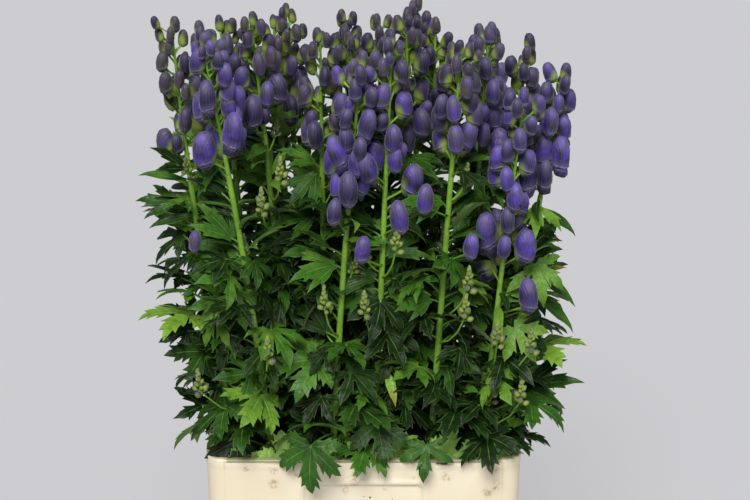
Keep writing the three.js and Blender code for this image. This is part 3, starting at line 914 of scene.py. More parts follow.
@cache
def clump():
    """The leafy stems and the spikes, each with its leaves or buds in place."""
    thicket = Thicket()
    points, faces = plain_tub()
    thicket.add(closed_shape(points, faces))
    stems, spikes = [], []
    for index, stem in enumerate(STEMS):
        low = SOIL_TOP - HOLE_DEPTH + CLEAR
        stems.append(bearer_of(thicket, stem, index, STEM_RADII, low, spike_foot(stem)))
    for index, stem in enumerate(STEMS):
        low = spike_foot(stem) + CLEAR
        high = stem[1][2] - bud_height(stem, 0)
        spikes.append(bearer_of(thicket, stem, index, SPIKE_RADII, low, high))
    for number in range(BUDS):
        for bearer in spikes:
            settle_bud(thicket, bearer, number)
    for number, known in enumerate(KNOWN_LEAVES):
        settle_known_leaf(thicket, stems[known["stem"]], known, number)
    for row, tier in enumerate(TIERS):
        for number in range(tier["count"]):
            for bearer in stems:
                settle_leaf(thicket, bearer, tier, number, row * 10 + number, tier["count"])
    for known in RIM_LEAVES:
        put_rim_leaf(thicket, stems, known)
    spray_height = SPRAYS["height"][1]
    for index, x, z in FINE_SPRAYS:
        put_in_front(thicket, stems[index], (x, SPRAY_FRONT, z), SPRAY_DROP, spray_height, spray=True)
    for index, x, z, height in FINE_BUDS:
        put_in_front(thicket, spikes[index], (x, BUD_FRONT, z), BUD_DROP, height, down=1.0)
    for number, known in enumerate(FINE_LEAVES):
        settle_fine_leaf(thicket, stems[known["stem"]], known, number)
    settings = bpy.context.scene.monkshood_foliage

    def more(count, bearer):
        """Further leaves are more at the back, where they show less one by one."""
        return round(count * (BACK_SHARE if bearer["stem"][0][1] > 0 else 1))

    count = settings.more_buds
    for number in range(count):
        for bearer in spikes:
            settle_more_bud(thicket, bearer, number, count)
    for number in range(settings.sprays):
        for bearer in stems:
            settle_spray(thicket, bearer, number, settings.sprays)
    for row, (tier, count) in enumerate(zip(MORE_LEAVES, settings.more_leaves)):
        for bearer in stems:
            most = more(count, bearer)
            for number in range(most):
                order = MORE_ORDER * (row + 1) + number
                settle_leaf(thicket, bearer, tier, number, order, most, settle_core)
    for bearer in spikes:
        most = more(settings.spike_leaves, bearer)
        for number in range(most):
            settle_leaf(thicket, bearer, SPIKE_LEAVES, number, MORE_ORDER + number, most, settle_core)
    return stems, spikes


# Meshes


def linked(name, data):
    """A new object of a mesh, light or camera, in the scene."""
    thing = bpy.data.objects.new(name, data)
    bpy.context.scene.collection.objects.link(thing)
    return thing


def object_of(name, points, faces, scale=MM):
    """A new object of these points and faces."""
    mesh = bpy.data.meshes.new(name)
    mesh.from_pydata((np.asarray(points) * scale).tolist(), [], [list(map(int, face)) for face in faces])
    mesh.update()
    return linked(name, mesh)


def finished(thing, material):
    """Smooths an object's mesh and gives it its material."""
    thing.data.polygons.foreach_set("use_smooth", [True] * len(thing.data.polygons))
    thing.data.materials.append(material)
    return thing


def add_numbers(mesh, name, values, kind="FLOAT", domain="POINT"):
    """Stores one value for each point, or one for each item of another domain."""
    key = "vector" if kind == "FLOAT_VECTOR" else "value"
    attribute = mesh.attributes.new(name, kind, domain)
    attribute.data.foreach_set(key, np.ravel(values))


def add_uv(mesh, marks):
    """Stores where each face's corners lie on the mesh's UV map."""
    mesh.uv_layers.new(name="UVMap").data.foreach_set("uv", np.ravel(marks))


def unlink_all(things):
    for thing in things:
        mesh = thing.data
        bpy.data.objects.remove(thing)
        bpy.data.meshes.remove(mesh)


# Leaf blades, one long and lying along x, with x forwards, y across and z out of the upper face

LEAF_SEED = 7
LEAF_KINDS = {"cut": 6, "lobed": 5, "trio": 5, "bract": 4}
SIDE_LOBES = {"cut": 2, "lobed": 2, "trio": 1, "bract": 0}
LOBE_SPREAD = {"cut": 52, "lobed": 52, "trio": 36, "bract": 0}
BASE_NOTCHES = {"cut": (142, 0.18), "lobed": (142, 0.18), "trio": (112, 0.09), "bract": (100, 0.05)}
VEIN_SLANT = 0.7
BLADE_THICKNESS = 0.014
SINUS_REACH = {"cut": 0.35, "lobed": 0.25, "trio": 0.18, "bract": 0.18}

# Half a lobe's margin from its notch to its tip: share of the way along, and half width
LOBE_MARGINS = {
    "cut": (
        *((0.38, 0.165), (0.46, 0.19), (0.56, 0.235), (0.7, 0.29), (0.64, 0.18)),
        *((0.75, 0.2), (0.88, 0.225), (0.82, 0.115), (0.91, 0.08)),
    ),
    "lobed": ((0.3, 0.12), (0.46, 0.17), (0.69, 0.24), (0.63, 0.145), (0.78, 0.135), (0.9, 0.065)),
    "trio": ((0.24, 0.085), (0.4, 0.13), (0.56, 0.145), (0.74, 0.165), (0.71, 0.1), (0.87, 0.055)),
    "bract": ((0.14, 0.07), (0.28, 0.115), (0.43, 0.14), (0.6, 0.128), (0.74, 0.092), (0.88, 0.046)),
}
LOBE_VARIETY = {
    "turn": 4,
    "reach": (0.92, 1.03),
    "droop": (0.08, 0.3),
    "curl": (0, 1.0),
    "width": (0.88, 1.08),
    "sweep": (-0.12, 0.12),
    "twist": (-0.25, 0.25),
    "tooth": (-0.012, 0.012),
}
NOTCH_VARIETY = {"turn": (-2, 2), "reach": (0.85, 1.15)}
CURL_FROM = 0.62
LEAST_STEP = 0.012
FIRST_STATION = 0.4
BLADE_LIFT = {"notch": 0.6 * FOLD, "edge": 0.75 * FOLD, "middle": 0.62 * FOLD}
MIDDLE_LINE = 0.52
FIRST_MIDDLE = {"along": 0.8, "across": 0.07}


def leaf_template(shape, number, material):
    """A leaf blade: an upper and a lower sheet that meet all along the toothed margin."""
    dice = np.random.default_rng([LEAF_SEED, len(shape), number])
    spots, corners, sheets = [], [], []

    def add(x, y, z):
        spots.append((x, y, z))
        return len(spots) - 1

    last = SIDE_LOBES[shape]
    heart = add(0, 0, 0)
    notches = {}
    for gap in range(-last - 1, last + 1):
        if -last <= gap < last:
            turn = (gap + 0.5) * LOBE_SPREAD[shape] + dice.uniform(*NOTCH_VARIETY["turn"])
            reach = SINUS_REACH[shape] * dice.uniform(*NOTCH_VARIETY["reach"])
        else:
            turn, reach = BASE_NOTCHES[shape]
            turn = math.copysign(turn, gap + 0.5)
        angle = math.radians(turn)
        notches[gap] = add(reach * math.cos(angle), reach * math.sin(angle), BLADE_LIFT["notch"])
    margins = LOBE_MARGINS[shape]
    stations = [margins[0][0] * FIRST_STATION]
    for s, w in margins:
        stations.append(max(s - VEIN_SLANT * w, stations[-1] + LEAST_STEP))
    shares = [*stations, 1]
    end = len(stations) - 1
    half = BLADE_THICKNESS / 2
    for lobe in range(-last, last + 1):
        turn = math.radians(lobe * LOBE_SPREAD[shape] + dice.uniform(-1, 1) * LOBE_VARIETY["turn"])
        reach = LOBE_REACH[abs(lobe)] * dice.uniform(*LOBE_VARIETY["reach"])
        droop, curl, sweep, twist = (
            dice.uniform(*LOBE_VARIETY[term]) for term in ("droop", "curl", "sweep", "twist")
        )

        def spot(s, w, lift):
            """A point of this lobe: s along it, w across it, lift above its sheet."""
            w += sweep * s * s
            x = reach * (s * math.cos(turn) - w * math.sin(turn))
            y = reach * (s * math.sin(turn) + w * math.cos(turn))
            z = lift - droop * (s * reach) ** 2 - curl * max(0, s - CURL_FROM) ** 2 + twist * w * s
            return x, y, z

        tip = add(*spot(1, 0, 0))
        rib = [[add(*spot(s, 0, lift)) for s in stations] for lift in (half, -half)]
        for hand in (-1, 1):
            widths = [w * dice.uniform(*LOBE_VARIETY["width"]) for _, w in margins]
            edge = [notches[lobe - 1 if hand < 0 else lobe]]
            for (s, _), w in zip(margins, widths):
                stray = dice.uniform(*LOBE_VARIETY["tooth"])
                edge.append(add(*spot(s + stray, hand * w, BLADE_LIFT["edge"])))
            middle = []
            first = (SINUS_REACH[shape] * FIRST_MIDDLE["along"], FIRST_MIDDLE["across"])
            for at, (s, w) in enumerate([first, *zip([s for s, _ in margins], widths)]):
                along = stations[at] + (s - stations[at]) * MIDDLE_LINE
                middle.append(add(*spot(along, hand * w * MIDDLE_LINE, BLADE_LIFT["middle"] + half)))

            def mark(vertex, column, at):
                return vertex, (0.5 + 0.5 * hand * column, shares[at])

            for sheet in (0, 1):
                turned = (hand > 0) == (sheet == 0)

                def patch(*marked):
                    corners.append(tuple(marked) if turned else tuple(reversed(marked)))
                    sheets.append(sheet)

                columns = [rib[sheet], edge] if sheet else [rib[sheet], middle, edge]
                step = 1 / (len(columns) - 1)
                pairs = enumerate(zip(columns, columns[1:]))
                strips = [(near, far, at * step, (at + 1) * step) for at, (near, far) in pairs]
                for near, far, inner, outer in strips:
                    patch(mark(heart, 0, 0), mark(near[0], inner, 0), mark(far[0], outer, 0))
                for near, far, inner, outer in strips:
                    for at in range(end):
                        below = (mark(near[at], inner, at), mark(near[at + 1], inner, at + 1))
                        patch(*below, mark(far[at + 1], outer, at + 1), mark(far[at], outer, at))
                    patch(mark(near[end], inner, end), mark(tip, 0, end + 1), mark(far[end], outer, end))
    blade = object_of(f"leaf_{shape}_{number}", spots, [[v for v, _ in marked] for marked in corners], 1)
    add_uv(blade.data, [uv for marked in corners for _, uv in marked])
    add_numbers(blade.data, "under", sheets, domain="FACE")
    mark_sheet_edges(blade.data, sheets)
    return finished(blade, material)


def mark_sheet_edges(mesh, sheets):
    """The margin, where one sheet meets the other, is a sharp edge."""
    found = {}
    for polygon, sheet in zip(mesh.polygons, sheets):
        for key in polygon.edge_keys:
            found.setdefault(key, set()).add(sheet)
    sharp = [len(found.get(tuple(sorted(edge.vertices)), ())) > 1 for edge in mesh.edges]
    add_numbers(mesh, "sharp_edge", sharp, "BOOLEAN", "EDGE")


# Buds, one high, with x outwards from the spike, y sideways and z up, and the stalk's end at the origin

BUD_SIDES = 14
BUD_KINDS = {"tight": 3, "full": 4, "open": 3, "tiny": 2}

# Rings from the bottom to the top: inner and outer point, half width, and how pale the edge is
BUD_RINGS = {
    "tight": (
        ((0.04, -0.1), (0.22, -0.11), 0.07, 0),
        ((-0.07, -0.04), (0.33, -0.06), 0.155, 0),
        ((-0.14, 0.05), (0.42, 0.02), 0.225, 0.2),
        ((-0.17, 0.1), (0.455, 0.06), 0.25, 0.7),
        ((-0.2, 0.28), (0.46, 0.28), 0.27, 0),
        ((-0.21, 0.5), (0.42, 0.53), 0.26, 0),
        ((-0.18, 0.72), (0.34, 0.75), 0.205, 0),
        ((-0.1, 0.88), (0.21, 0.89), 0.12, 0),
    ),
    "full": (
        ((0.07, -0.17), (0.23, -0.18), 0.06, 0),
        ((-0.03, -0.09), (0.33, -0.13), 0.14, 0),
        ((-0.11, 0.03), (0.42, -0.02), 0.215, 0),
        ((-0.135, 0.11), (0.44, 0.07), 0.235, 0.5),
        ((-0.155, 0.13), (0.48, 0.06), 0.27, 0.2),
        ((-0.17, 0.17), (0.49, 0.11), 0.275, 0.6),
        ((-0.2, 0.35), (0.485, 0.31), 0.29, 0),
        ((-0.22, 0.56), (0.44, 0.55), 0.275, 0),
        ((-0.19, 0.75), (0.35, 0.76), 0.22, 0),
        ((-0.12, 0.89), (0.22, 0.9), 0.135, 0),
    ),
    "open": (
        ((0.26, -0.34), (0.46, -0.4), 0.13, 0),
        ((0.06, -0.28), (0.55, -0.35), 0.25, 0),
        ((-0.04, -0.14), (0.53, -0.2), 0.265, 0),
        ((-0.08, -0.01), (0.46, -0.06), 0.21, 0.8),
        ((-0.13, 0.03), (0.55, -0.06), 0.29, 0.2),
        ((-0.16, 0.09), (0.56, 0.01), 0.3, 0.8),
        ((-0.2, 0.33), (0.53, 0.28), 0.3, 0),
        ((-0.22, 0.57), (0.46, 0.54), 0.28, 0),
        ((-0.19, 0.77), (0.36, 0.77), 0.22, 0),
        ((-0.12, 0.9), (0.22, 0.9), 0.135, 0),
    ),
    "tiny": (
        ((-0.24, 0.02), (0.24, 0.02), 0.24, 0),
        ((-0.36, 0.32), (0.38, 0.32), 0.36, 0),
        ((-0.27, 0.68), (0.3, 0.68), 0.27, 0),
    ),
}
BUD_BOTTOM = {"tight": (0.13, -0.14), "full": (0.15, -0.22), "open": (0.36, -0.36), "tiny": (0, 0)}
BUD_TOP = {"tight": (0.07, 0.93), "full": (0.07, 0.94), "open": (0.07, 0.97), "tiny": (0.02, 0.95)}
BUD_RIPPLE = {"tight": 0.0, "full": 0.03, "open": 0.1, "tiny": 0.0}
RIPPLES = 5
RIPPLE_TOP = 0.02
KEEL = {"depth": 0.22, "foot": 0.6}
HOOD_VARIETY = {"lean": (-0.05, 0.05), "crown": (-0.04, 0.05), "width": (0.94, 1.05)}
FOLD_LINES = (0.26, 0.32, 0.36)
TINY_SIDES = 7

# How far a point is from the stalk: the stalk's end, how much each direction counts, and a tiny bud's share
NEAR_STALK = {"end": (0.14, 0, 0), "counts": (1.25, 0.8, 0.8), "tiny": 0.62}


def bud_template(kind, number, material):
    """A closed bud, lofted through tilted rings, each keeled on its outer side."""
    dice = np.random.default_rng([LEAF_SEED, 50 + len(kind), number])
    sides = TINY_SIDES if kind == "tiny" else BUD_SIDES
    angles = 2 * math.pi * np.arange(sides) / sides
    rings, pale, levels = [], [], []
    lean = dice.uniform(*HOOD_VARIETY["lean"])
    crown = dice.uniform(*HOOD_VARIETY["crown"])
    for inner, outer, half, edge in BUD_RINGS[kind]:
        inner, outer = np.array(inner), np.array(outer)
        middle, reach = (inner + outer) / 2, (outer - inner) / 2
        height = middle[1]
        wide = half * dice.uniform(*HOOD_VARIETY["width"])
        fold = 1 + BUD_RIPPLE[kind] * (height < RIPPLE_TOP) * np.cos(RIPPLES * angles + number)
        out = np.cos(angles) * fold
        keel = 1 - KEEL["depth"] * np.clip(out, 0, 1) ** 2 * min(1, height + KEEL["foot"])
        x = middle[0] + reach[0] * out + crown * max(0, height) ** 2
        z = middle[1] + reach[1] * out
        y = wide * np.sin(angles) * fold * keel + lean * height
        rings.append(np.stack([x, y, z], axis=1))
        pale += [edge] * sides
        levels += [height] * sides
    bottom = np.array([(BUD_BOTTOM[kind][0], 0, BUD_BOTTOM[kind][1])])
    top = np.array([(BUD_TOP[kind][0] + crown, lean, BUD_TOP[kind][1])])
    points, faces = loft([bottom, *rings, top])
    bud = object_of(f"bud_{kind}_{number}", points, faces, 1)
    mesh = bud.data
    levels = np.array([BUD_BOTTOM[kind][1], *levels, BUD_TOP[kind][1]])
    levels = (levels - levels[0]) / (levels[-1] - levels[0])
    around = [0.5, *np.tile(np.arange(sides) / sides, len(rings)), 0.5]
    marks = []
    for polygon in mesh.polygons:
        turns = [around[v] for v in polygon.vertices]
        poles = [v in (0, len(points) - 1) for v in polygon.vertices]
        kept = [turn for turn, pole in zip(turns, poles) if not pole]
        wraps = max(kept) - min(kept) > 0.5
        kept = [turn + (wraps and turn < 0.5) for turn in kept]
        for vertex, turn, pole in zip(polygon.vertices, turns, poles):
            u = sum(kept) / len(kept) if pole else turn + (wraps and turn < 0.5)
            marks.append((u, levels[vertex]))
    add_uv(mesh, marks)
    reach = NEAR_STALK["tiny"] if kind == "tiny" else 1
    away = np.linalg.norm((points + NEAR_STALK["end"]) * NEAR_STALK["counts"], axis=1)
    add_numbers(mesh, "from_stalk", reach * away)
    add_numbers(mesh, "pale", [0, *pale, 0])
    return finished(bud, material)


# Skeletons: the lines of a plant, with the spots that its blades and buds are put on


class Skeleton:
    def __init__(self):
        self.points, self.edges = [], []
        self.columns = {"girth": [], "size": [], "tint": [], "ripe": [], "turned": []}
        self.flags = {"is_blade": [], "is_bud": []}
        self.picks = []

    def _add(self, point, girth=0.0, size=0.0, tint=0.5, ripe=0.0, turned=(0, 0, 0), pick=0, kind=LINE):
        self.points.append(point)
        for name, value in zip(self.columns, (girth, size, tint, ripe, turned)):
            self.columns[name].append(value)
        self.flags["is_blade"].append(kind == BLADE)
        self.flags["is_bud"].append(kind == BUD)
        self.picks.append(pick)
        return len(self.points) - 1

    def line(self, points, girths, tint=0.5):
        """A stem or a stalk through these points."""
        marks = [self._add(point, girth, tint=tint) for point, girth in zip(points, girths)]
        self.edges += zip(marks, marks[1:])

    def organ(self, kind, point, axes, size, pick, tint, ripe=0.0):
        turned = Matrix(np.stack(axes, axis=1).tolist()).to_euler()
        self._add(point, size=size, tint=tint, ripe=ripe, turned=tuple(turned), pick=pick, kind=kind)

    def make(self, name):
        mesh = bpy.data.meshes.new(name)
        mesh.from_pydata((np.array(self.points) * MM).tolist(), self.edges, [])
        lengths = {"girth": MM, "size": MM}
        for key, values in self.columns.items():
            kind = "FLOAT_VECTOR" if key == "turned" else "FLOAT"
            add_numbers(mesh, key, np.array(values) * lengths.get(key, 1), kind)
        for key, values in self.flags.items():
            add_numbers(mesh, key, values, "BOOLEAN")
        add_numbers(mesh, "pick", self.picks, "INT")
        return linked(name, mesh)


def curved(start, end, way, steps, bow=0.5):
    """Points of a stalk that leaves in one direction and bends to its end."""
    span = np.linalg.norm(end - start)
    handle = start + way * span * bow
    shares = np.linspace(0, 1, steps)[:, None]
    return (1 - shares) ** 2 * start + 2 * shares * (1 - shares) * handle + shares**2 * end


# Node trees


class Net:
    """A node tree whose nodes are wired up as they are made."""

    def __init__(self, tree):
        self.tree = tree

    def add(self, kind, sockets=None, out=0, **settings):
        node = self.tree.nodes.new(kind)
        for name, value in settings.items():
            setattr(node, name, value)
        for key, value in (sockets or {}).items():
            if isinstance(value, bpy.types.NodeSocket):
                self.tree.links.new(value, node.inputs[key])
            else:
                node.inputs[key].default_value = value
        return node.outputs[out]

    def one_of(self, kinds):
        """The things of a collection, to be picked from in the order of their names."""
        sockets = {"Collection": kinds, "Separate Children": True, "Reset Children": True}
        return self.add("GeometryNodeCollectionInfo", sockets)

    def wire(self, source, socket):
        self.tree.links.new(source, socket)

    def split(self, vector):
        """A vector's three numbers."""
        node = self.tree.nodes.new("ShaderNodeSeparateXYZ")
        self.wire(vector, node.inputs[0])
        return node.outputs

    def reckon(self, operation, *values):
        return self.add("ShaderNodeMath", dict(enumerate(values)), operation=operation)

    def times(self, one, other):
        return self.reckon("MULTIPLY", one, other)

    def times_plus(self, one, other, more):
        return self.reckon("MULTIPLY_ADD", one, other, more)

    def most(self, one, other):
        return self.reckon("MAXIMUM", one, other)

    def apart(self, one, other):
        """How far two numbers lie apart."""
        return self.reckon("ABSOLUTE", self.reckon("SUBTRACT", one, other))

    def waves(self, value):
        """A number that goes up and down between 0 and 1 as its source grows."""
        return self.reckon("PINGPONG", value, 1.0)

    def eased(self, source, low, high, to_low=0.0, to_high=1.0):
        """A number between two limits, eased and moved to two others."""
        sockets = {"Value": source, "From Min": low, "From Max": high, "To Min": to_low, "To Max": to_high}
        return self.add("ShaderNodeMapRange", sockets, interpolation_type="SMOOTHSTEP")

    def blended(self, share, one, other):
        return self.add("ShaderNodeMix", {0: share, 6: one, 7: other}, out=2, data_type="RGBA")

    def mottle(self, scale, detail=3.0, place=None, roughness=0.5):
        place = place or self.add("ShaderNodeTexCoord", out=3)
        sockets = {"Vector": place, "Scale": scale, "Detail": detail, "Roughness": roughness}
        return self.add("ShaderNodeTexNoise", sockets)

    def stored(self, name):
        return self.add("ShaderNodeAttribute", out=2, attribute_name=name)


def new_tree(name, **inputs):
    """A tree that takes a geometry and these named inputs: its net and what it is given."""
    tree = bpy.data.node_groups.new(name, "GeometryNodeTree")
    for term, kind in {"Geometry": "Geometry", **inputs}.items():
        tree.interface.new_socket(term.replace("_", " "), in_out="INPUT", socket_type="NodeSocket" + kind)
    tree.interface.new_socket("Geometry", in_out="OUTPUT", socket_type="NodeSocketGeometry")
    return tree, Net(tree), tree.nodes.new("NodeGroupInput").outputs


def plant_tree():
    """Turns a skeleton into lines of the right girth, with a blade or a bud on each of its spots."""
    tree, net, given = new_tree(
        "Plant from its skeleton",
        Line_sides="Int",
        Ridge_height="Float",
        Blades="Collection",
        Buds="Collection",
        Line_material="Material",
        Blade_material="Material",
        Bud_material="Material",
    )

    def named(name, kind):
        return net.add("GeometryNodeInputNamedAttribute", {"Name": name}, data_type=kind)

    circle = net.add("GeometryNodeCurvePrimitiveCircle", {"Resolution": given["Line sides"], "Radius": 1.0})
    odd = net.reckon("MODULO", net.add("GeometryNodeInputIndex"), 2.0)
    ridge = net.times_plus(odd, given["Ridge height"], 1.0)
    place = net.add("GeometryNodeInputPosition")
    ridged = net.add("ShaderNodeVectorMath", {0: place, "Scale": ridge}, operation="SCALE")
    profile = net.add("GeometryNodeSetPosition", {"Geometry": circle, "Position": ridged})
    curve = net.add("GeometryNodeMeshToCurve", {"Mesh": given["Geometry"]})
    tube = net.add(
        "GeometryNodeCurveToMesh",
        {"Curve": curve, "Profile Curve": profile, "Scale": named("girth", "FLOAT"), "Fill Caps": True},
    )
    smooth = net.add("GeometryNodeSetShadeSmooth", {"Geometry": tube})
    parts = [net.add("GeometryNodeSetMaterial", {"Geometry": smooth, "Material": given["Line material"]})]
    turned = net.add("FunctionNodeEulerToRotation", {0: named("turned", "FLOAT_VECTOR")})
    for flag, kinds, material in (
        ("is_blade", given["Blades"], given["Blade material"]),
        ("is_bud", given["Buds"], given["Bud material"]),
    ):
        placed = net.add(
            "GeometryNodeInstanceOnPoints",
            {
                "Points": given["Geometry"],
                "Selection": named(flag, "BOOLEAN"),
                "Instance": net.one_of(kinds),
                "Pick Instance": True,
                "Instance Index": named("pick", "INT"),
                "Rotation": turned,
                "Scale": named("size", "FLOAT"),
            },
        )
        real = net.add("GeometryNodeRealizeInstances", {"Geometry": placed})
        parts.append(net.add("GeometryNodeSetMaterial", {"Geometry": real, "Material": material}))
    joined = tree.nodes.new("GeometryNodeJoinGeometry")
    for part in reversed(parts):
        tree.links.new(part, joined.inputs[0])
    tree.links.new(joined.outputs[0], tree.nodes.new("NodeGroupOutput").inputs[0])
    return tree


def grown(skeleton, tree, inputs, name):
    """The plain mesh that a tree makes of a skeleton, as a new object."""
    source = skeleton.make(name + "_skeleton") if isinstance(skeleton, Skeleton) else skeleton
    modifier = source.modifiers.new("Growth", "NODES")
    modifier.node_group = tree
    for item in tree.interface.items_tree:
        if item.in_out == "INPUT" and item.name in inputs:
            modifier[item.identifier] = inputs[item.name]
    bpy.context.view_layer.update()
    graph = bpy.context.evaluated_depsgraph_get()
    mesh = bpy.data.meshes.new_from_object(source.evaluated_get(graph), depsgraph=graph)
    source.modifiers.remove(modifier)
    unlink_all([source])
    for extra in ("girth", "size", "turned", "is_blade", "is_bud", "pick"):
        if extra in mesh.attributes:
            mesh.attributes.remove(mesh.attributes[extra])
    mesh.name = name
    return linked(name, mesh)


# Finishes


def paint(red, green, blue):
    """A colour as the eye reads it, as the numbers that light is reckoned in."""

    def linear(value):
        value /= 255
        return value / 12.92 if value <= 0.04045 else ((value + 0.055) / 1.055) ** 2.4

    return linear(red), linear(green), linear(blue), 1.0


def new_finish(name):
    """A material with an empty net, its shader and what the shader's numbers are wired to."""
    material = bpy.data.materials.new(name)
    material.use_nodes = True
    tree = material.node_tree
    return material, Net(tree), tree.nodes["Principled BSDF"].inputs


def raised(net, shader, height, distance, strength):
    sockets = {"Height": height, "Distance": distance, "Strength": strength}
    net.wire(net.add("ShaderNodeBump", sockets), shader["Normal"])


# How fine each pattern is, in repeats to a metre, or to a whole blade or hood for veins, lanes and arcs
LEAF_LOOK = {"blotches": 28.0, "grain": 420.0, "side_veins": 13.0, "lanes": 12.0}
STALK_LOOK = {"blotches": 14.0, "grain": 260.0}
PETAL_LOOK = {"clouds": 75.0, "grain": 500.0, "ripples": 160.0, "veins": 34.0, "arcs": 26.0}
TUB_LOOK = {"clouds": 9.0, "grain": 900.0, "specks": 240.0}
SOIL_LOOK = {"lumps": 90.0, "flecks": 420.0}
SHEEN = (0.78, 0.76, 0.9, 1)
GLOW = (0.97, 0.97, 1, 1)

# Marks and painted shade on the tub, in metres: where each begins and where it is full
FRONT_FROM = (-0.12, -0.125)
CREASE_SHADE = {"at": 0.1655, "bend": 0.003, "half": (0.0011, 0.0003)}
RIM_SHADE = {"up": (0.2562, 0.2572), "along": (0.168, 0.162)}
SLOT_SHADOW = {"wide": (0.0068, 0.0058), "high": (0.0019, 0.0011), "down": 0.0007}


def leaf_finish(colours):
    """Glossy blades: deep green to light green, with a pale midrib, fine side veins, a painted highlight
    along the margin and a paler back that is partly painted light.
    """
    material, net, shader = new_finish("monkshood_leaf")
    split = net.split(net.add("ShaderNodeUVMap", uv_map="UVMap"))
    across = net.apart(split[0], 0.5)
    along = split[1]
    tint = net.stored("tint")
    broad = net.mottle(LEAF_LOOK["blotches"])
    patch = net.reckon("ADD", tint, net.times_plus(broad, 0.7, -0.35))
    flesh = net.blended(net.eased(patch, 0.1, 0.62), colours.leaf_dark, colours.leaf_green)
    flesh = net.blended(net.eased(patch, 0.5, 1.1), flesh, colours.leaf_light)
    waves = net.waves(net.times(along, LEAF_LOOK["side_veins"]))
    side_veins = net.eased(waves, 0.2, 0.0)
    lanes = net.waves(net.times_plus(across, LEAF_LOOK["lanes"], 0.4))
    lanes = net.times(net.eased(lanes, 0.28, 0.0), net.eased(across, 0.08, 0.14))
    side_veins = net.most(side_veins, net.times(lanes, 0.7))
    width = net.times_plus(along, -0.045, 0.06)
    midrib = net.eased(net.reckon("DIVIDE", across, width), 1.0, 0.35)
    veins = net.most(midrib, net.times(side_veins, 0.3))
    old = net.times(net.eased(tint, 1.15, 1.35), net.eased(along, 0.35, 0.8))
    flesh = net.blended(net.times(old, net.eased(broad, 0.3, 0.6)), flesh, colours.leaf_old)
    front = net.blended(net.times(side_veins, 0.4), flesh, colours.leaf_dark)
    front = net.blended(net.times(midrib, 0.26), front, colours.leaf_vein)
    # Painted highlight: the blade's margin is lightened towards the vein colour, as light catches the edge
    rim = net.eased(across, 0.455, 0.5)
    front = net.blended(net.times(rim, 0.4), front, colours.leaf_vein)
    # The back is partly the underside's own paler green and partly painted light: it is lightened to stand in
    # for light shining through the blade
    back = net.blended(0.45, flesh, colours.leaf_back)
    back = net.blended(net.times(veins, 0.5), back, colours.leaf_vein)
    under = net.stored("under")
    net.wire(net.blended(under, front, back), shader["Base Color"])
    fine = net.mottle(LEAF_LOOK["grain"], 2.0)
    height = net.reckon("SUBTRACT", net.times(fine, 0.25), veins)
    raised(net, shader, height, 0.001, 0.7)
    dull = net.times_plus(broad, 0.3, 0.27)
    net.wire(net.times_plus(under, 0.2, dull), shader["Roughness"])
    shader["Specular IOR Level"].default_value = 0.22
    return material


def stalk_finish(colours):
    """Stems and stalks: bright yellow-green, flushed a little darker in places."""
    material, net, shader = new_finish("monkshood_stalk")
    broad = net.mottle(STALK_LOOK["blotches"])
    fine = net.mottle(STALK_LOOK["grain"])
    tint = net.reckon("ADD", net.times(broad, 0.8), net.times(fine, 0.35))
    colour = net.blended(net.eased(tint, 0.38, 0.75), colours.stalk_dark, colours.stalk_light)
    colour = net.blended(net.eased(net.stored("tint"), 0.55, 0.7, 0.0, 0.7), colour, colours.leaf_green)
    net.wire(colour, shader["Base Color"])
    raised(net, shader, fine, 0.0004, 0.4)
    net.wire(net.times_plus(fine, 0.2, 0.4), shader["Roughness"])
    return material


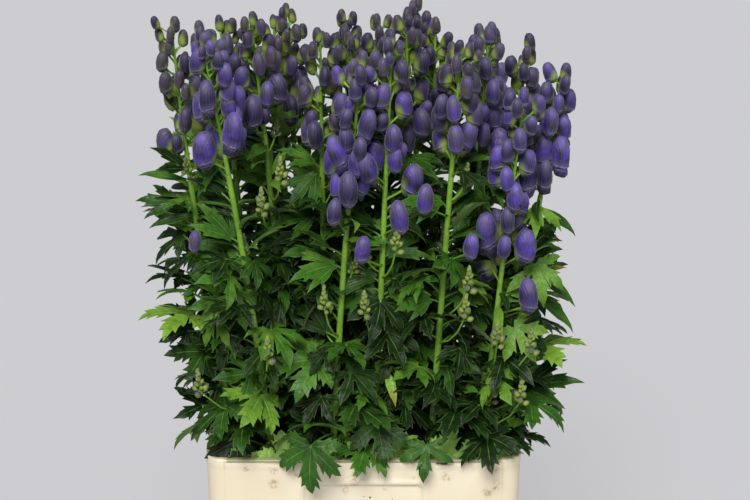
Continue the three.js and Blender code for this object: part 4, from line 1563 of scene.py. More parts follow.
def petal_finish(colours):
    """Hoods: olive and grey when young, blue-violet when ripe, green round the stalk, finely veined, with
    painted shade low on each hood and on some whole hoods, and a painted highlight on their tops.
    """
    material, net, shader = new_finish("monkshood_petal")
    split = net.split(net.add("ShaderNodeUVMap", uv_map="UVMap"))
    around, up = split[0], split[1]
    ripe = net.stored("ripe")
    cloudy = net.mottle(PETAL_LOOK["clouds"])
    fine = net.mottle(PETAL_LOOK["grain"], 2.0)
    ripeness = net.reckon("ADD", ripe, net.times_plus(cloudy, 0.5, -0.25))
    young = net.blended(net.eased(cloudy, 0.35, 0.65), colours.bud_olive, colours.bud_grey)
    ripened = net.blended(net.eased(cloudy, 0.3, 0.7), colours.violet_dark, colours.violet)
    skin = net.blended(net.eased(ripeness, 0.2, 0.75), young, ripened)
    bent = net.times_plus(cloudy, 0.06, around)
    lines = net.waves(net.times(bent, PETAL_LOOK["veins"]))
    veins = net.times(net.eased(lines, 0.4, 0.0), net.eased(up, 0.98, 0.55))
    # Painted shade: each hood darkens towards its lower part, as if lit from above
    skin = net.blended(net.eased(up, 0.62, 0.1, 0.0, 0.8), skin, colours.violet_dark)
    # Painted shade, spread at random: some hoods are darkened almost to black, as hoods in shade look
    skin = net.blended(net.eased(net.stored("tint"), 0.3, 0.9, 0.0, 0.92), skin, colours.violet_dark)
    crown = net.times(net.eased(up, 0.4, 0.85, 0.0, 0.38), net.eased(ripe, 0.6, 0.25))
    skin = net.blended(crown, skin, colours.violet_dark)
    # Painted highlight: the upper part of each hood, most of all a ripe one, is lightened towards a pale
    # lavender, as light falls on it from above
    top_highlight = net.times(net.eased(up, 0.5, 1.0, 0.0, 0.4), net.eased(fine, 0.25, 0.6, 0.7, 1.0))
    top_highlight = net.times(top_highlight, net.eased(ripe, 0.2, 0.6, 0.4, 1.0))
    skin = net.blended(top_highlight, skin, colours.top_highlight)
    near = net.stored("from_stalk")
    arcs = net.waves(net.times_plus(cloudy, 2.4, net.times(near, PETAL_LOOK["arcs"])))
    arcs = net.times(net.eased(arcs, 0.5, 0.0), net.eased(near, 0.35, 0.6))
    skin = net.blended(net.times(arcs, 0.13), skin, colours.violet_vein)
    skin = net.blended(net.times(veins, 0.05), skin, colours.violet_vein)
    skin = net.blended(net.times(net.stored("pale"), 0.3), skin, colours.violet_pale)
    folded = net.times_plus(net.mottle(PETAL_LOOK["ripples"], 2.0), 0.12, up)
    for level in FOLD_LINES:
        off = net.apart(folded, level)
        line = net.times(net.eased(off, 0.016, 0.004), net.eased(ripe, 0.2, 0.6, 0.2, 0.8))
        skin = net.blended(line, skin, colours.violet_pale)
    away = net.times_plus(cloudy, 0.16, near)
    away = net.times_plus(ripe, 0.22, away)
    skin = net.blended(net.eased(away, 0.7, 0.4, 0.0, 0.88), skin, colours.stalk_light)
    net.wire(skin, shader["Base Color"])
    height = net.times_plus(arcs, 0.8, net.times(fine, 0.5))
    raised(net, shader, height, 0.0007, 0.5)
    net.wire(net.times_plus(fine, 0.15, 0.46), shader["Roughness"])
    shader["Specular IOR Level"].default_value = 0.35
    shader["Sheen Weight"].default_value = 0.22
    shader["Sheen Roughness"].default_value = 0.35
    shader["Sheen Tint"].default_value = SHEEN
    return material


def tub_finish(colours):
    """Cream moulded plastic with a faint grain, a little dust and a few brown scuffs, and painted shade down
    the front corners, along the front of the rim and inside the slots.
    """
    material, net, shader = new_finish("cream_plastic")
    place = net.add("ShaderNodeTexCoord", out=3)
    cloudy = net.mottle(TUB_LOOK["clouds"], 4.0, place)
    grain = net.mottle(TUB_LOOK["grain"], 2.0, place)
    specks = net.mottle(TUB_LOOK["specks"], 5.0, place, 0.7)
    cream = net.blended(net.eased(cloudy, 0.35, 0.7), colours.cream_shade, colours.cream)
    spots = 0.0
    for x, y, z, radius in SCUFFS:
        away = net.add("ShaderNodeVectorMath", {0: place, 1: (x, y, z)}, out=1, operation="DISTANCE")
        spot = net.eased(away, radius * 1.4, radius * 0.2)
        spots = net.most(spots, spot)
    worn = net.times(spots, net.eased(specks, 0.4, 0.62))
    stray = net.times(net.eased(specks, 0.68, 0.75), 0.6)
    marks = net.most(worn, stray)
    split = net.split(place)
    along, height = net.reckon("ABSOLUTE", split[0]), split[2]
    # Painted shade: a faint dark line down each front corner, where the wall starts to bend; it joins the
    # scuffs, so it takes their colour and a slight dent
    crease_place = net.reckon("SUBTRACT", along, net.times_plus(cloudy, CREASE_SHADE["bend"], CREASE_SHADE["at"]))
    crease_shade = net.eased(net.reckon("ABSOLUTE", crease_place), *CREASE_SHADE["half"])
    crease_shade = net.times(crease_shade, net.eased(cloudy, 0.38, 0.55))
    in_front = net.eased(split[1], *FRONT_FROM)
    marks = net.most(marks, net.times(net.times(crease_shade, in_front), 0.45))
    cream = net.blended(net.times(marks, 0.8), cream, colours.scuff)
    edge = net.times_plus(specks, 0.0012, height)
    # Painted shade: a grey-green strip along the top of the front rim stands in for the foliage's shadow
    # there and the green it reflects
    rim_shade = net.times(net.eased(edge, *RIM_SHADE["up"]), net.eased(along, *RIM_SHADE["along"]))
    rim_shade = net.times(rim_shade, in_front)
    cream = net.blended(net.times(rim_shade, 0.9), cream, colours.rim)
    # Painted shadow: the insides of the two slots under the front rim are darkened to a deep brown
    slot_x = net.apart(along, SLOT["apart"] / 2 * MM)
    slot_z = net.apart(edge, (TUB_HEIGHT - SLOT["below"]) * MM - SLOT_SHADOW["down"])
    gap = net.times(net.eased(slot_x, *SLOT_SHADOW["wide"]), net.eased(slot_z, *SLOT_SHADOW["high"]))
    gap = net.times(gap, net.eased(specks, 0.36, 0.44))
    colour = net.blended(net.times(gap, in_front), cream, colours.gap)
    net.wire(colour, shader["Base Color"])
    raised(net, shader, net.reckon("SUBTRACT", grain, marks), 0.0003, 0.25)
    net.wire(net.times_plus(cloudy, 0.12, 0.38), shader["Roughness"])
    return material


def soil_finish(colours):
    """Damp brown compost with paler flecks."""
    material, net, shader = new_finish("damp_compost")
    lumps = net.mottle(SOIL_LOOK["lumps"], 6.0)
    flecks = net.mottle(SOIL_LOOK["flecks"])
    earth = net.blended(net.eased(lumps, 0.35, 0.65), colours.soil_dark, colours.soil_light)
    earth = net.blended(net.eased(flecks, 0.64, 0.7), earth, colours.soil_fleck)
    net.wire(earth, shader["Base Color"])
    raised(net, shader, net.reckon("ADD", lumps, net.times(flecks, 0.4)), 0.004, 0.8)
    shader["Roughness"].default_value = 0.9
    return material


def floor_finish(colours):
    material, net, shader = new_finish("studio_floor")
    soft = net.mottle(1.5, 2.0)
    net.wire(net.blended(soft, colours.floor, colours.floor_shade), shader["Base Color"])
    shader["Roughness"].default_value = 0.9
    shader["Specular IOR Level"].default_value = 0.1
    shader["Emission Color"].default_value = GLOW
    shader["Emission Strength"].default_value = colours.glow
    return material


# Where the scuffs are on the tub's front, along it and up, in metres, and how wide each is
FRONT_SCUFFS = (
    (-0.108, 0.246, 0.006),
    (-0.108, 0.228, 0.007),
    (-0.011, 0.23, 0.008),
    (0.149, 0.216, 0.007),
    (0.159, 0.222, 0.005),
    (0.06, 0.236, 0.003),
    (-0.141, 0.248, 0.004),
    (-0.08, 0.239, 0.004),
    (-0.022, 0.219, 0.006),
    (0.025, 0.221, 0.004),
    (0.1, 0.237, 0.007),
    (0.16, 0.247, 0.004),
    (0.16, 0.229, 0.005),
)
SCUFFS = (
    *((x, -0.139, z, radius) for x, z, radius in FRONT_SCUFFS),
    (-0.15, 0.139, 0.12, 0.009),
    (0.189, 0.03, 0.17, 0.007),
)


# Tub


def eased(values, low, high):
    share = np.clip((values - low) / (high - low), 0, 1)
    return share * share * (3 - 2 * share)


PANEL_SLOPE = 2.2
PANEL_STEP = 2.2
SLOT_SLOPE = 0.3
WALL_STEP = 12
WALL_LOW = (24, 44)
WALL_TOP = (NECK - 8, NECK - 1.5)
SIDE_STATIONS = 8
FOOT_SHARES = (0.0, 0.35, 0.7)
LIP = {"wide": 1.2, "step": 0.3, "under": 0.6}
NECK_SLOPE = 3
INNER_ROUND = 3


def panel_relief(x, z):
    """How far the tub's front stands out: a raised band round a sunk, round-cornered panel."""
    middle = (PANEL["low"] + PANEL["top"]) / 2
    half_width = PANEL["width"] / 2 - PANEL["corner"]
    half_height = (PANEL["top"] - PANEL["low"]) / 2 - PANEL["corner"]
    over_x = np.maximum(np.abs(x) - half_width, 0)
    over_z = np.maximum(np.abs(z - middle) - half_height, 0)
    inside = np.minimum(half_width - np.abs(x), half_height - np.abs(z - middle)).clip(0)
    depth = PANEL["corner"] + inside - np.hypot(over_x, over_z)
    band = eased(depth, 0, PANEL_SLOPE) * PANEL["proud"]
    return band - eased(depth, PANEL["band"], PANEL["band"] + PANEL_SLOPE) * (PANEL["proud"] + PANEL["sunk"])


def front_stations():
    """Where the front wall's points stand, closest over the panel and the slots."""
    half = PANEL["width"] / 2 + PANEL_STEP
    fine = np.linspace(-half, half, round(2 * half / PANEL_STEP))
    end = TUB_WIDTH / 2 - TUB_CORNER
    edge = SLOT["apart"] / 2 - SLOT["width"] / 2
    far = SLOT["apart"] / 2 + SLOT["width"] / 2
    slot = [edge - SLOT_SLOPE, edge, far, far + SLOT_SLOPE]
    rest = [(half + edge) / 2, (far + end) / 2, end - WALL_STEP / 2]
    side = np.array([*slot, *rest])
    return np.sort(np.concatenate([-side, fine, side]))


def wall_heights():
    fine = np.arange(PANEL["low"] - PANEL_STEP, PANEL["top"] + PANEL_STEP, PANEL_STEP)
    return [FOOT_BEVEL["up"], *WALL_LOW, *fine, *WALL_TOP]


def tub_level(inset, z, stations, relief=0.0, slots=0.0):
    """One level ring of the fine tub: four round corners, and points along the walls between them."""
    corner = TUB_CORNER - inset
    half_width, half_depth = TUB_WIDTH / 2 - TUB_CORNER, TUB_DEPTH / 2 - TUB_CORNER
    angles = np.radians(np.linspace(0, 90, FINE_CORNER_STEPS + 1))
    front = TUB_DEPTH / 2 - inset
    wall = front + relief * panel_relief(stations, z)
    off_slot = np.abs(np.abs(stations) - SLOT["apart"] / 2)
    in_slot = eased(SLOT["width"] / 2 + SLOT_SLOPE - off_slot, 0, SLOT_SLOPE)
    wall = wall - slots * SLOT["depth"] * in_slot
    sides = np.linspace(-half_depth, half_depth, SIDE_STATIONS)[1:-1]
    end = np.full(len(sides), half_width + corner)
    walls = ((stations[::-1], wall[::-1]), (-end, sides[::-1]), (stations, -wall), (end, sides))
    ring = []
    for quarter, (x, y) in enumerate(CORNERS):
        turned = angles + math.pi / 2 * quarter
        bend = [x * half_width + corner * np.cos(turned), y * half_depth + corner * np.sin(turned)]
        ring += [np.stack(bend, axis=1), np.stack(walls[quarter], axis=1)]
    flat = np.concatenate(ring)
    return np.column_stack([flat, np.full(len(flat), z)])


def banded(rings):
    """Quads between rings of equal count, closed by a face at each end."""
    count = len(rings[0])
    points = np.concatenate(rings)
    faces = [tuple(reversed(range(count)))]
    for row in range(len(rings) - 1):
        low, high = row * count, (row + 1) * count
        for at in range(count):
            after = (at + 1) % count
            faces.append((low + at, low + after, high + after, high + at))
    last = (len(rings) - 1) * count
    faces.append(tuple(range(last, last + count)))
    return points, faces


def make_tub(settings):
    stations = front_stations()
    foot, neck = FOOT_BEVEL["up"], NECK
    rings = []

    def level(inset, z, **more):
        rings.append(tub_level(inset, z, stations, **more))

    bottom = FOOT_INSET + FOOT_BEVEL["inwards"]
    for share in FOOT_SHARES:
        angle = math.radians(90 * share)
        level(bottom - FOOT_BEVEL["inwards"] * math.sin(angle), foot * (1 - math.cos(angle)))
    for z in wall_heights():
        level(mix((FOOT_INSET, NECK_INSET), min(1, (z - foot) / (neck - foot))), z, relief=1.0)
    level(NECK_INSET, neck)
    level(NECK_INSET * 0.5, neck + NECK_SLOPE)
    slot_top = TUB_HEIGHT - SLOT["below"]
    slot_foot = slot_top - SLOT["height"]
    level(0, slot_foot - SLOT_SLOPE)
    level(0, slot_foot, slots=1.0)
    level(0, slot_top, slots=1.0)
    level(0, slot_top + SLOT_SLOPE)
    for share in (0, 0.25, 0.5, 0.75, 1):
        angle = math.radians(90 * share)
        level(RIM_BEVEL * (1 - math.cos(angle)), TUB_HEIGHT - RIM_BEVEL * (1 - math.sin(angle)))
    lip, step = LIP["wide"], LIP["wide"] * LIP["step"]
    level(RIM_WIDTH - lip, TUB_HEIGHT)
    level(RIM_WIDTH - step, TUB_HEIGHT - step)
    level(RIM_WIDTH, TUB_HEIGHT - lip)
    level(RIM_WIDTH, TUB_HEIGHT - RIM_DEPTH + LIP["under"])
    level(RIM_WIDTH - LIP["under"], TUB_HEIGHT - RIM_DEPTH)
    for z in (NECK, SOIL_TOP, TUB_FLOOR + INNER_ROUND):
        level(inner_inset(z), z)
    level(inner_inset(TUB_FLOOR) + INNER_ROUND, TUB_FLOOR)
    return finished(object_of("tub_moulding", *banded(rings)), tub_finish(settings))


# Soil


SOIL_SHADE = 1.5
SOIL_DEEP = 30
LUMPS = ((1.1, (0, 0, 0), 0.9), (4.0, (7, 3, 1), 0.55), (11.0, (0, 0, 0), 0.25))
LUMP_SCALE = 0.02
RING_START = 0.35
CRUMB_FORM = {"stretch": (0.6, 1.1), "point": (0.75, 1.1)}
CRUMB_KINDS = 5
CRUMB_SEED = 3
LEAST_CRUMB = 0.35
FULL_TURN = (6.28, 6.28, 6.28)
CRUMBS_FROM = SOIL_TOP - 12


def soil_height(x, y, settings):
    """The compost's bumpy top."""
    spot = Vector((x, y, 0)) * LUMP_SCALE
    bumps = sum(noise.noise(spot * scale + Vector(shift)) * size for scale, shift, size in LUMPS)
    return settings.bumps / MM * bumps


def make_soil(settings, finish):
    """The compost as a block, with its edge lower than its middle."""
    low = TUB_FLOOR + CLEAR
    down = SOIL_SHOULDER["down"]
    steps = SOIL_SIDES // 4 - 1
    rim = tub_ring(inner_inset(SOIL_TOP) + CLEAR, 0, steps)
    rings = [tub_ring(inner_inset(z) + CLEAR, z, steps) for z in (low, SOIL_TOP - SOIL_DEEP, SOIL_TOP - down)]
    for ring in range(SOIL_RINGS):
        share = 1 - (ring + RING_START) / SOIL_RINGS
        level = rim * (share, share, 1)
        for point in level:
            drop = down * eased(np.array(share), SOIL_SHOULDER["from"], 1.0)
            point[2] = SOIL_TOP - drop - SOIL_SHADE + soil_height(point[0], point[1], settings)
        rings.append(level)
    return finished(object_of("compost_block", *banded(rings)), finish)


def crumb_tree():
    """Scatters crumbs over the upward faces of the soil."""
    tree, net, given = new_tree(
        "Crumbs on the soil",
        Crumbs="Collection",
        Spacing="Float",
        Density="Float",
        Crumb_size="Float",
        Lowest="Float",
        Seed="Int",
        Material="Material",
    )
    height = net.split(net.add("GeometryNodeInputPosition"))[2]
    high = net.reckon("GREATER_THAN", height, given["Lowest"])
    spots = tree.nodes.new("GeometryNodeDistributePointsOnFaces")
    spots.distribute_method = "POISSON"
    for key, source in (
        ("Mesh", given["Geometry"]),
        ("Selection", high),
        ("Distance Min", given["Spacing"]),
        ("Density Max", given["Density"]),
        ("Seed", given["Seed"]),
    ):
        tree.links.new(source, spots.inputs[key])
    least = net.times(given["Crumb size"], LEAST_CRUMB)
    sizes = net.add(
        "FunctionNodeRandomValue",
        {2: least, 3: given["Crumb size"], "Seed": given["Seed"]},
        out=1,
        data_type="FLOAT",
    )
    turns = net.add(
        "FunctionNodeRandomValue",
        {0: (0, 0, 0), 1: FULL_TURN, "Seed": given["Seed"]},
        data_type="FLOAT_VECTOR",
    )
    placed = net.add(
        "GeometryNodeInstanceOnPoints",
        {
            "Points": spots.outputs[0],
            "Instance": net.one_of(given["Crumbs"]),
            "Pick Instance": True,
            "Rotation": net.add("FunctionNodeEulerToRotation", {0: turns}),
            "Scale": sizes,
        },
    )
    real = net.add("GeometryNodeRealizeInstances", {"Geometry": placed})
    joined = tree.nodes.new("GeometryNodeJoinGeometry")
    tree.links.new(real, joined.inputs[0])
    tree.links.new(given["Geometry"], joined.inputs[0])
    done = net.add("GeometryNodeSetMaterial", {"Geometry": joined.outputs[0], "Material": given["Material"]})
    tree.links.new(done, tree.nodes.new("NodeGroupOutput").inputs[0])
    return tree


def crumb_template(number):
    """A small lump of compost of twenty faces, one across."""
    dice = np.random.default_rng([LEAF_SEED, 90, number])
    form = bpy.data.meshes.new(f"crumb_{number}")
    bm = bmesh.new()
    bmesh.ops.create_icosphere(bm, subdivisions=1, radius=0.5)
    stretch = dice.uniform(*CRUMB_FORM["stretch"], 3)
    for vertex in bm.verts:
        vertex.co = vertex.co * dice.uniform(*CRUMB_FORM["point"])
        vertex.co = Vector(np.array(vertex.co) * stretch)
    bm.to_mesh(form)
    bm.free()
    return linked(form.name, form)


def collected(name, things):
    """The templates, gathered in a collection of their own."""
    group = bpy.data.collections.new(name)
    for thing in things:
        bpy.context.scene.collection.objects.unlink(thing)
        group.objects.link(thing)
    return group


# Stems and spikes


PETIOLE = {"steps": 6, "steepest": 80, "lift": 14, "girth": 0.8, "by_reach": 0.009, "tint": 0.7}
PETIOLE_GIRTHS = ((0, 1.7), (0.2, 1), (0.85, 0.9), (1, 1.1))
SPRAY_BUDS = 15
SPRAY_BOW = 25
SPRAY_TIP = 1.3
SPRAY_GIRTHS = (1.3, 0.7)
TINY_STALK = {"length": 1, "longer": 3.4, "girths": (0.7, 0.6), "first_turn": 40, "spread": 0.8}
TINY_SIZE = {"first": 0.5, "less": 0.2, "least": 0.75, "by_tint": 0.5}
# Leaves lower on their stem get a lower tint and so a darker green: painted shade, on top of a random tone
LEAF_TINT = {"power": 1.5, "width": 0.8, "by_height": 0.18}
STEM_TINT = 0.3
STEM_STEPS = 16
SPIKE_STEPS = 9
BUD_SWAY = 8
BUD_GIRTHS = (1.5, 1.15, 1.1, 1.35, 2.3)
STALK_INTO_BUD = 0.02
FULL_STALK_FROM = 24
TIGHT_BELOW = 17
OPEN = {"height": 30, "ripe": 0.85, "share": 0.45}
RIPENESS = {"stem": 0.7, "down": 0.42, "base": 0.18, "stray": 0.2}
BRACTLET = {"stalk": 6, "turn": 24, "rise": 14, "out": 1.5, "reach": (8, 14), "tint": 0.95}


def petiole(skeleton, place, end):
    """A leaf's stalk, from inside its stem to where its lobes meet."""
    steps = PETIOLE["steps"]
    way = pointing(place["turn"], min(PETIOLE["steepest"], place["rise"] + PETIOLE["lift"]))
    points = curved(place["root"], end, way, steps)
    girth = PETIOLE["girth"] + place["reach"] * PETIOLE["by_reach"]
    shares, girths = zip(*PETIOLE_GIRTHS)
    girths = np.interp(np.linspace(0, 1, steps), shares, [girth * share for share in girths])
    skeleton.line(points, girths, tint=PETIOLE["tint"])


def stem_points(bearer, count):
    heights = np.linspace(bearer["from"], bearer["to"], count)
    points = [line_at(bearer["stem"], z) for z in heights]
    return points, [girth_at(bearer, z) for z in heights]


def spray(skeleton, place, index, number):
    """A side spray: a thin stalk that carries a few tiny green buds in turn."""
    out, side, up = bud_axes(place)
    end = stalk_end(place)
    tip = end + up * place["height"] * SPRAY_TIP
    way = pointing(place["turn"], place["rise"] - SPRAY_BOW)
    points = [*curved(place["root"], end, way, 4), tip]
    skeleton.line(points, np.linspace(*SPRAY_GIRTHS, len(points)))
    for bud in range(SPRAY_BUDS):
        share = (bud + 1) / SPRAY_BUDS
        spot = end + (tip - end) * (share * 1.25 - 0.25)
        angle = math.radians(TWIST * bud + TINY_STALK["first_turn"])
        away = out * math.cos(angle) + side * math.sin(angle)
        length = TINY_STALK["length"] + TINY_STALK["longer"] * (1 - share)
        lean = unit(up * (0.5 + share) + away * (1 - share * TINY_STALK["spread"]))
        foot = spot + lean * length
        skeleton.line([spot, foot], TINY_STALK["girths"])
        across = unit(np.cross(lean, side + out * 0.3))
        axes = (across, np.cross(lean, across), lean)
        tint = draw(index, number, bud, 61)
        size = place["height"] * (TINY_SIZE["first"] - TINY_SIZE["less"] * share)
        size *= TINY_SIZE["least"] + TINY_SIZE["by_tint"] * tint
        pick = FIRST_PICK["tiny"] + bud % BUD_KINDS["tiny"]
        skeleton.organ(BUD, foot, axes, size, pick, tint, 0.5 * tint)


def leaf_on(skeleton, bearer, place, number):
    """One leaf with its stalk."""
    end = stalk_end(place)
    petiole(skeleton, place, end)
    shape = place["shape"]
    pick = FIRST_PICK[shape] + int(draw(bearer["index"], number, 62) * LEAF_KINDS[shape])
    low = (place["root"][2] - SOIL_TOP) / (STEMS[0][1][2] - SOIL_TOP)
    drawn = draw(bearer["index"], number, 63) ** LEAF_TINT["power"] * LEAF_TINT["width"]
    tint = place.get("tint", drawn + LEAF_TINT["by_height"] * low)
    skeleton.organ(BLADE, end, leaf_axes(place), place["reach"], pick, tint)


def leafy_skeleton(bearer):
    """A stem with its leaf stalks, its leaves and its side sprays."""
    skeleton = Skeleton()
    points, girths = stem_points(bearer, STEM_STEPS)
    skeleton.line(points, girths, tint=STEM_TINT)
    for number, place in enumerate(bearer["organs"]):
        if place.get("spray"):
            spray(skeleton, place, bearer["index"], number)
        else:
            leaf_on(skeleton, bearer, place, number)
    return skeleton


def flower_skeleton(bearer):
    """A spike's axis with its bud stalks, each from the axil of a narrow bract, and its buds."""
    skeleton = Skeleton()
    index, stem = bearer["index"], bearer["stem"]
    points, girths = stem_points(bearer, SPIKE_STEPS)
    skeleton.line(points, girths)
    for number, place in enumerate(bearer["organs"]):
        if "shape" in place:
            leaf_on(skeleton, bearer, place, number)
            continue

        def drawn(key):
            return draw(index, number, key)

        out, side, up = bud_axes(place)
        end = stalk_end(place)
        height = place["height"]
        way = pointing(place["turn"], place["rise"])
        line = curved(place["root"], end + out * STALK_INTO_BUD * height, way, len(BUD_GIRTHS))
        skeleton.line(line, [girth * min(1, height / FULL_STALK_FROM) for girth in BUD_GIRTHS])
        kind = "tight" if height < TIGHT_BELOW or place["small"] else "full"
        if height > OPEN["height"] and stem[4] > OPEN["ripe"] and drawn(68) > OPEN["share"]:
            kind = "open"
        pick = FIRST_PICK[kind] + int(drawn(64) * BUD_KINDS[kind])
        ripe = stem[4] * RIPENESS["stem"] + RIPENESS["down"] * place.get("down", 0) - RIPENESS["base"]
        ripe += RIPENESS["stray"] * (drawn(65) - 0.5)
        sway, nod = (BUD_SWAY * (2 * drawn(key) - 1) for key in (69, 70))
        axes = [turned_about(turned_about(axis, side, nod), out, sway) for axis in (out, side, up)]
        skeleton.organ(BUD, end, axes, height, pick, drawn(66), ripe)
        if number and place["stalk"] > BRACTLET["stalk"]:
            way = pointing(place["turn"] + BRACTLET["turn"], place["rise"] + BRACTLET["rise"])
            across = unit(np.cross((0, 0, 1), way))
            pick = FIRST_PICK["bract"] + number % LEAF_KINDS["bract"]
            root = place["root"] + way * BRACTLET["out"]
            axes = (way, across, np.cross(way, across))
            skeleton.organ(BLADE, root, axes, mix(BRACTLET["reach"], drawn(67)), pick, BRACTLET["tint"])
    return skeleton


def first_picks(kinds):
    """Where each kind starts in a collection, whose things are picked in the order of their names."""
    names = sorted(kinds)
    return {name: sum(kinds[other] for other in names[:at]) for at, name in enumerate(names)}


FIRST_PICK = first_picks(LEAF_KINDS) | first_picks(BUD_KINDS)


# Settings that a user would change


def colour_setting(name, description, red, green, blue):
    default = paint(red, green, blue)
    limits = {"size": 4, "min": 0, "max": 1}
    return FloatVectorProperty(name=name, description=description, default=default, subtype="COLOR", **limits)


def number_setting(name, description, default, unit="NONE"):
    return FloatProperty(name=name, description=description, default=default, unit=unit, min=0)


def count_setting(name, description, default, least=0):
    return IntProperty(name=name, description=description, default=default, min=least)


class TubSettings(bpy.types.PropertyGroup):
    cream: colour_setting("Cream", "Colour of the plastic", 225, 214, 189)
    cream_shade: colour_setting("Cream shade", "Colour of the plastic where it is dull", 217, 204, 176)
    # Also the colour of the painted shade down the front corners
    scuff: colour_setting("Scuffs", "Colour of the scuffs", 158, 128, 90)
    # Painted shade: this strip stands in for the foliage's shadow on the rim and the green it reflects
    rim: colour_setting("Rim", "The dull strip along the front of the rim", 126, 128, 90)
    # Painted shadow inside the slots
    gap: colour_setting("Slots", "The insides of the slots under the rim", 52, 40, 28)


class SoilSettings(bpy.types.PropertyGroup):
    soil_dark: colour_setting("Dark", "Damp compost", 38, 28, 20)
    soil_light: colour_setting("Light", "Drier compost", 78, 58, 40)
    soil_fleck: colour_setting("Flecks", "Bits of bark and grit", 122, 100, 74)
    bumps: number_setting("Bumps", "How bumpy the top is", 0.0032, "LENGTH")
    crumb: number_setting("Crumb size", "Width of the largest crumbs", 0.007, "LENGTH")
    spacing: number_setting("Spacing", "Least room between crumbs", 0.006, "LENGTH")
    density: number_setting("Density", "Crumbs to a square metre", 9000)


class FoliageSettings(bpy.types.PropertyGroup):
    # Partly painted shade: low, back and spike-bract leaves are darkened towards this colour, besides its use
    # for side veins and the random darker tone
    leaf_dark: colour_setting("Dark leaf", "Leaves deep in the clump", 18, 37, 10)
    leaf_green: colour_setting("Green leaf", "Most leaves", 52, 95, 25)
    leaf_light: colour_setting("Light leaf", "Young leaves", 114, 152, 50)
    # Also the colour of the painted highlight along the leaf margins
    leaf_vein: colour_setting("Veins", "Midribs and side veins", 136, 172, 90)
    # Partly painted light: the underside's own paler green, lightened to stand in for light shining through
    # the blade
    leaf_back: colour_setting("Back", "Underside of the leaves", 150, 184, 104)
    leaf_old: colour_setting("Old leaf", "Tips that turn brown", 150, 96, 36)
    stalk_dark: colour_setting("Dark stalk", "Stalks in their darker places", 84, 124, 34)
    stalk_light: colour_setting("Light stalk", "Stems and stalks", 122, 166, 50)
    more_leaves: IntVectorProperty(
        name="More leaves",
        description="Further lobed, cut and three-lobed leaves and bracts tried on each stem",
        default=(26, 12, 27, 18),
        size=4,
        min=0,
    )
    spike_leaves: count_setting("Spike leaves", "Bracts tried on each spike", 10)
    more_buds: count_setting("More buds", "Smaller buds tried on each spike", 15)
    sprays: count_setting("Sprays", "Side sprays tried on each stem", 3)
    sides: count_setting("Sides", "Sides of stems and stalks", 8, 3)
    ridge: number_setting("Ridges", "Height of a stem's ridges, as a share", 0.12)


class FlowerSettings(bpy.types.PropertyGroup):
    violet: colour_setting("Violet", "Ripe hoods", 70, 49, 144)
    # Also the colour of the painted shade low on each hood and on the darkened hoods
    violet_dark: colour_setting("Dark violet", "Ripe hoods in their darker places", 15, 10, 32)
    violet_vein: colour_setting("Petal veins", "Fine veins", 116, 104, 164)
    violet_pale: colour_setting("Petal edges", "Pale edges and folds", 132, 124, 160)
    # Painted highlight: the pale lavender laid on the tops of the hoods, where the light falls
    top_highlight: colour_setting("Bloom", "Fine pale hairs on the tops of the hoods", 122, 112, 156)
    bud_olive: colour_setting("Olive bud", "Young buds", 72, 69, 38)
    bud_grey: colour_setting("Grey bud", "Young buds that are colouring", 52, 42, 47)
    stalk_light: colour_setting("Stalk side", "The green patch round the stalk", 130, 150, 58)


class StageSettings(bpy.types.PropertyGroup):
    floor: colour_setting("Floor", "Studio floor", 91, 91, 93)
    floor_shade: colour_setting("Floor shade", "Studio floor in its darker places", 89, 89, 92)
    glow: number_setting("Glow", "Light of the floor's own, which lifts its shadows", 0.5)
    width: number_setting("Floor width", "Width of the floor", 60, "LENGTH")
    lens: number_setting("Lens", "Focal length of the camera", 128.16, "CAMERA")
    sun: number_setting("Key light", "Strength of the key light", 4.0)
    fill: number_setting("Fill light", "Power of the fill light", 25, "POWER")


def ride_root(piece, node):
    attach(piece, "root")
    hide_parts(node)


# Operators


class MONKSHOOD_OT_tub(bpy.types.Operator):
    """Moulds the cream tub, with its rim, slots and panels"""

    bl_idname = "monkshood.tub"
    bl_label = "Tub"

    def execute(self, context):
        ride_root(make_tub(context.scene.monkshood_tub), "tub")
        return {"FINISHED"}


class MONKSHOOD_OT_soil(bpy.types.Operator):
    """Fills the tub with compost and scatters crumbs on it"""

    bl_idname = "monkshood.soil"
    bl_label = "Soil"

    def execute(self, context):
        settings = context.scene.monkshood_soil
        finish = soil_finish(settings)
        block = make_soil(settings, finish)
        crumbs = [crumb_template(number) for number in range(CRUMB_KINDS)]
        inputs = {
            "Crumbs": collected("Crumbs", crumbs),
            "Spacing": settings.spacing,
            "Density": settings.density,
            "Crumb size": settings.crumb,
            "Lowest": CRUMBS_FROM * MM,
            "Seed": CRUMB_SEED,
            "Material": finish,
        }
        soil = grown(block, crumb_tree(), inputs, "potting_compost")
        unlink_all(crumbs)
        ride_root(soil, "soil")
        return {"FINISHED"}


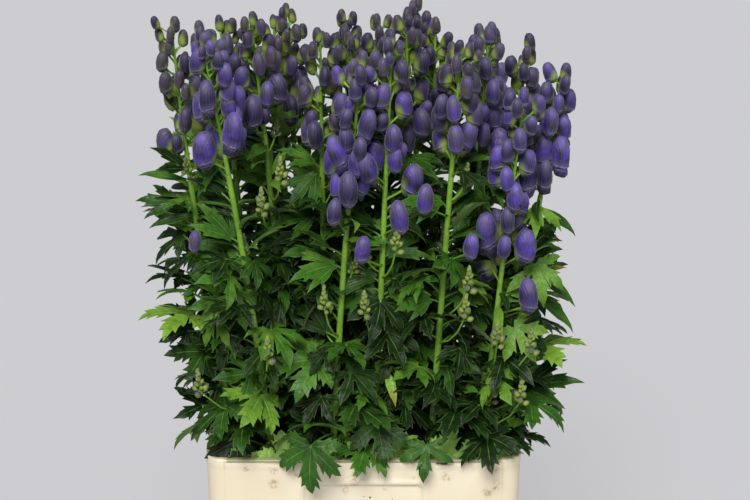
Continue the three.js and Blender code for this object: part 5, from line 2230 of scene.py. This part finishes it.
class MONKSHOOD_OT_plants(bpy.types.Operator):
    """Grows the leafy stems and their flower spikes"""

    bl_idname = "monkshood.plants"
    bl_label = "Stems and spikes"

    def execute(self, context):
        foliage, flowers = context.scene.monkshood_foliage, context.scene.monkshood_flowers
        leaf, stalk, petal = leaf_finish(foliage), stalk_finish(foliage), petal_finish(flowers)

        def templates(make, kinds, finish):
            return [make(kind, number, finish) for kind in sorted(kinds) for number in range(kinds[kind])]

        blades = templates(leaf_template, LEAF_KINDS, leaf)
        buds = templates(bud_template, BUD_KINDS, petal)
        inputs = {
            "Line sides": foliage.sides,
            "Ridge height": foliage.ridge,
            "Blades": collected("Blades", blades),
            "Buds": collected("Buds", buds),
            "Line material": stalk,
            "Blade material": leaf,
            "Bud material": petal,
        }
        tree = plant_tree()
        stems, spikes = clump()
        for number, bearer in enumerate(stems, 1):
            piece = grown(leafy_skeleton(bearer), tree, inputs, f"leafy_stem_{number:02}")
            ride_root(piece, f"stem_{number:02}")
        for number, bearer in enumerate(spikes, 1):
            piece = grown(flower_skeleton(bearer), tree, inputs, f"flower_spike_{number:02}")
            ride_root(piece, f"spike_{number:02}")
        unlink_all([*blades, *buds])
        return {"FINISHED"}


CAMERA = {"place": (0.01378, -3.06093, 1.59097), "pitch": 70, "film": 36}
AIR = {"colour": (0.97, 0.98, 1, 1), "strength": 0.19}
LIT_SPOT = (0, 0, 0.45)
KEY_LIGHT = {"spot": (-0.5, -2.4, 3.2), "spread": 30}
FILL_LIGHT = {"spot": (2.6, -2.2, 2.0), "size": 1.2}


def soft_light(name, kind, spot, strength, **shape):
    """A light that points at the clump's middle."""
    lamp = bpy.data.lights.new(name, kind)
    lamp.energy = strength
    for term, value in shape.items():
        setattr(lamp, term, value)
    light = linked(name, lamp)
    light.location = spot
    light.rotation_euler = (Vector(LIT_SPOT) - Vector(spot)).to_track_quat("-Z", "Y").to_euler()


class MONKSHOOD_OT_stage(bpy.types.Operator):
    """Lays the pale floor, hangs the soft lights and sets up the camera"""

    bl_idname = "monkshood.stage"
    bl_label = "Stage"

    def execute(self, context):
        settings = context.scene.monkshood_stage
        scene = context.scene
        lens = bpy.data.cameras.new("studio_camera")
        lens.lens = settings.lens
        lens.sensor_width = CAMERA["film"]
        camera = linked("studio_camera", lens)
        camera.location = CAMERA["place"]
        camera.rotation_euler = (math.radians(CAMERA["pitch"]), 0, 0)
        scene.camera = camera
        half = settings.width / 2
        corners = [(-half, -half, 0), (half, -half, 0), (half, half, 0), (-half, half, 0)]
        floor = object_of("studio_floor", corners, [(0, 1, 2, 3)], 1)
        floor.data.materials.append(floor_finish(settings))
        world = bpy.data.worlds.new("studio_air")
        world.use_nodes = True
        sky = world.node_tree.nodes["Background"].inputs
        sky["Color"].default_value = AIR["colour"]
        sky["Strength"].default_value = AIR["strength"]
        scene.world = world
        spread = math.radians(KEY_LIGHT["spread"])
        soft_light("key", "SUN", KEY_LIGHT["spot"], settings.sun, angle=spread)
        size = FILL_LIGHT["size"]
        soft_light("side_fill", "AREA", FILL_LIGHT["spot"], settings.fill, shape="DISK", size=size)
        scene.view_settings.view_transform = "Standard"
        return {"FINISHED"}


class MONKSHOOD_PT_pieces(bpy.types.Panel):
    bl_label = "Potted monkshood"
    bl_idname = "MONKSHOOD_PT_pieces"
    bl_space_type = "VIEW_3D"
    bl_region_type = "UI"
    bl_category = "Monkshood"

    def draw(self, _context):
        for operator in OPERATORS:
            self.layout.operator(operator.bl_idname)


SETTINGS = {
    "monkshood_tub": TubSettings,
    "monkshood_soil": SoilSettings,
    "monkshood_foliage": FoliageSettings,
    "monkshood_flowers": FlowerSettings,
    "monkshood_stage": StageSettings,
}
OPERATORS = (MONKSHOOD_OT_stage, MONKSHOOD_OT_tub, MONKSHOOD_OT_soil, MONKSHOOD_OT_plants)


def register():
    for group in SETTINGS.values():
        bpy.utils.register_class(group)
    for name, group in SETTINGS.items():
        setattr(bpy.types.Scene, name, PointerProperty(type=group))
    for kind in (*OPERATORS, MONKSHOOD_PT_pieces):
        bpy.utils.register_class(kind)


def unregister():
    for kind in (MONKSHOOD_PT_pieces, *reversed(OPERATORS)):
        bpy.utils.unregister_class(kind)
    for name, group in SETTINGS.items():
        delattr(bpy.types.Scene, name)
        bpy.utils.unregister_class(group)


def main():
    register()
    for operator in OPERATORS:
        family, name = operator.bl_idname.split(".")
        getattr(getattr(bpy.ops, family), name)()


if __name__ == "__main__":
    main()
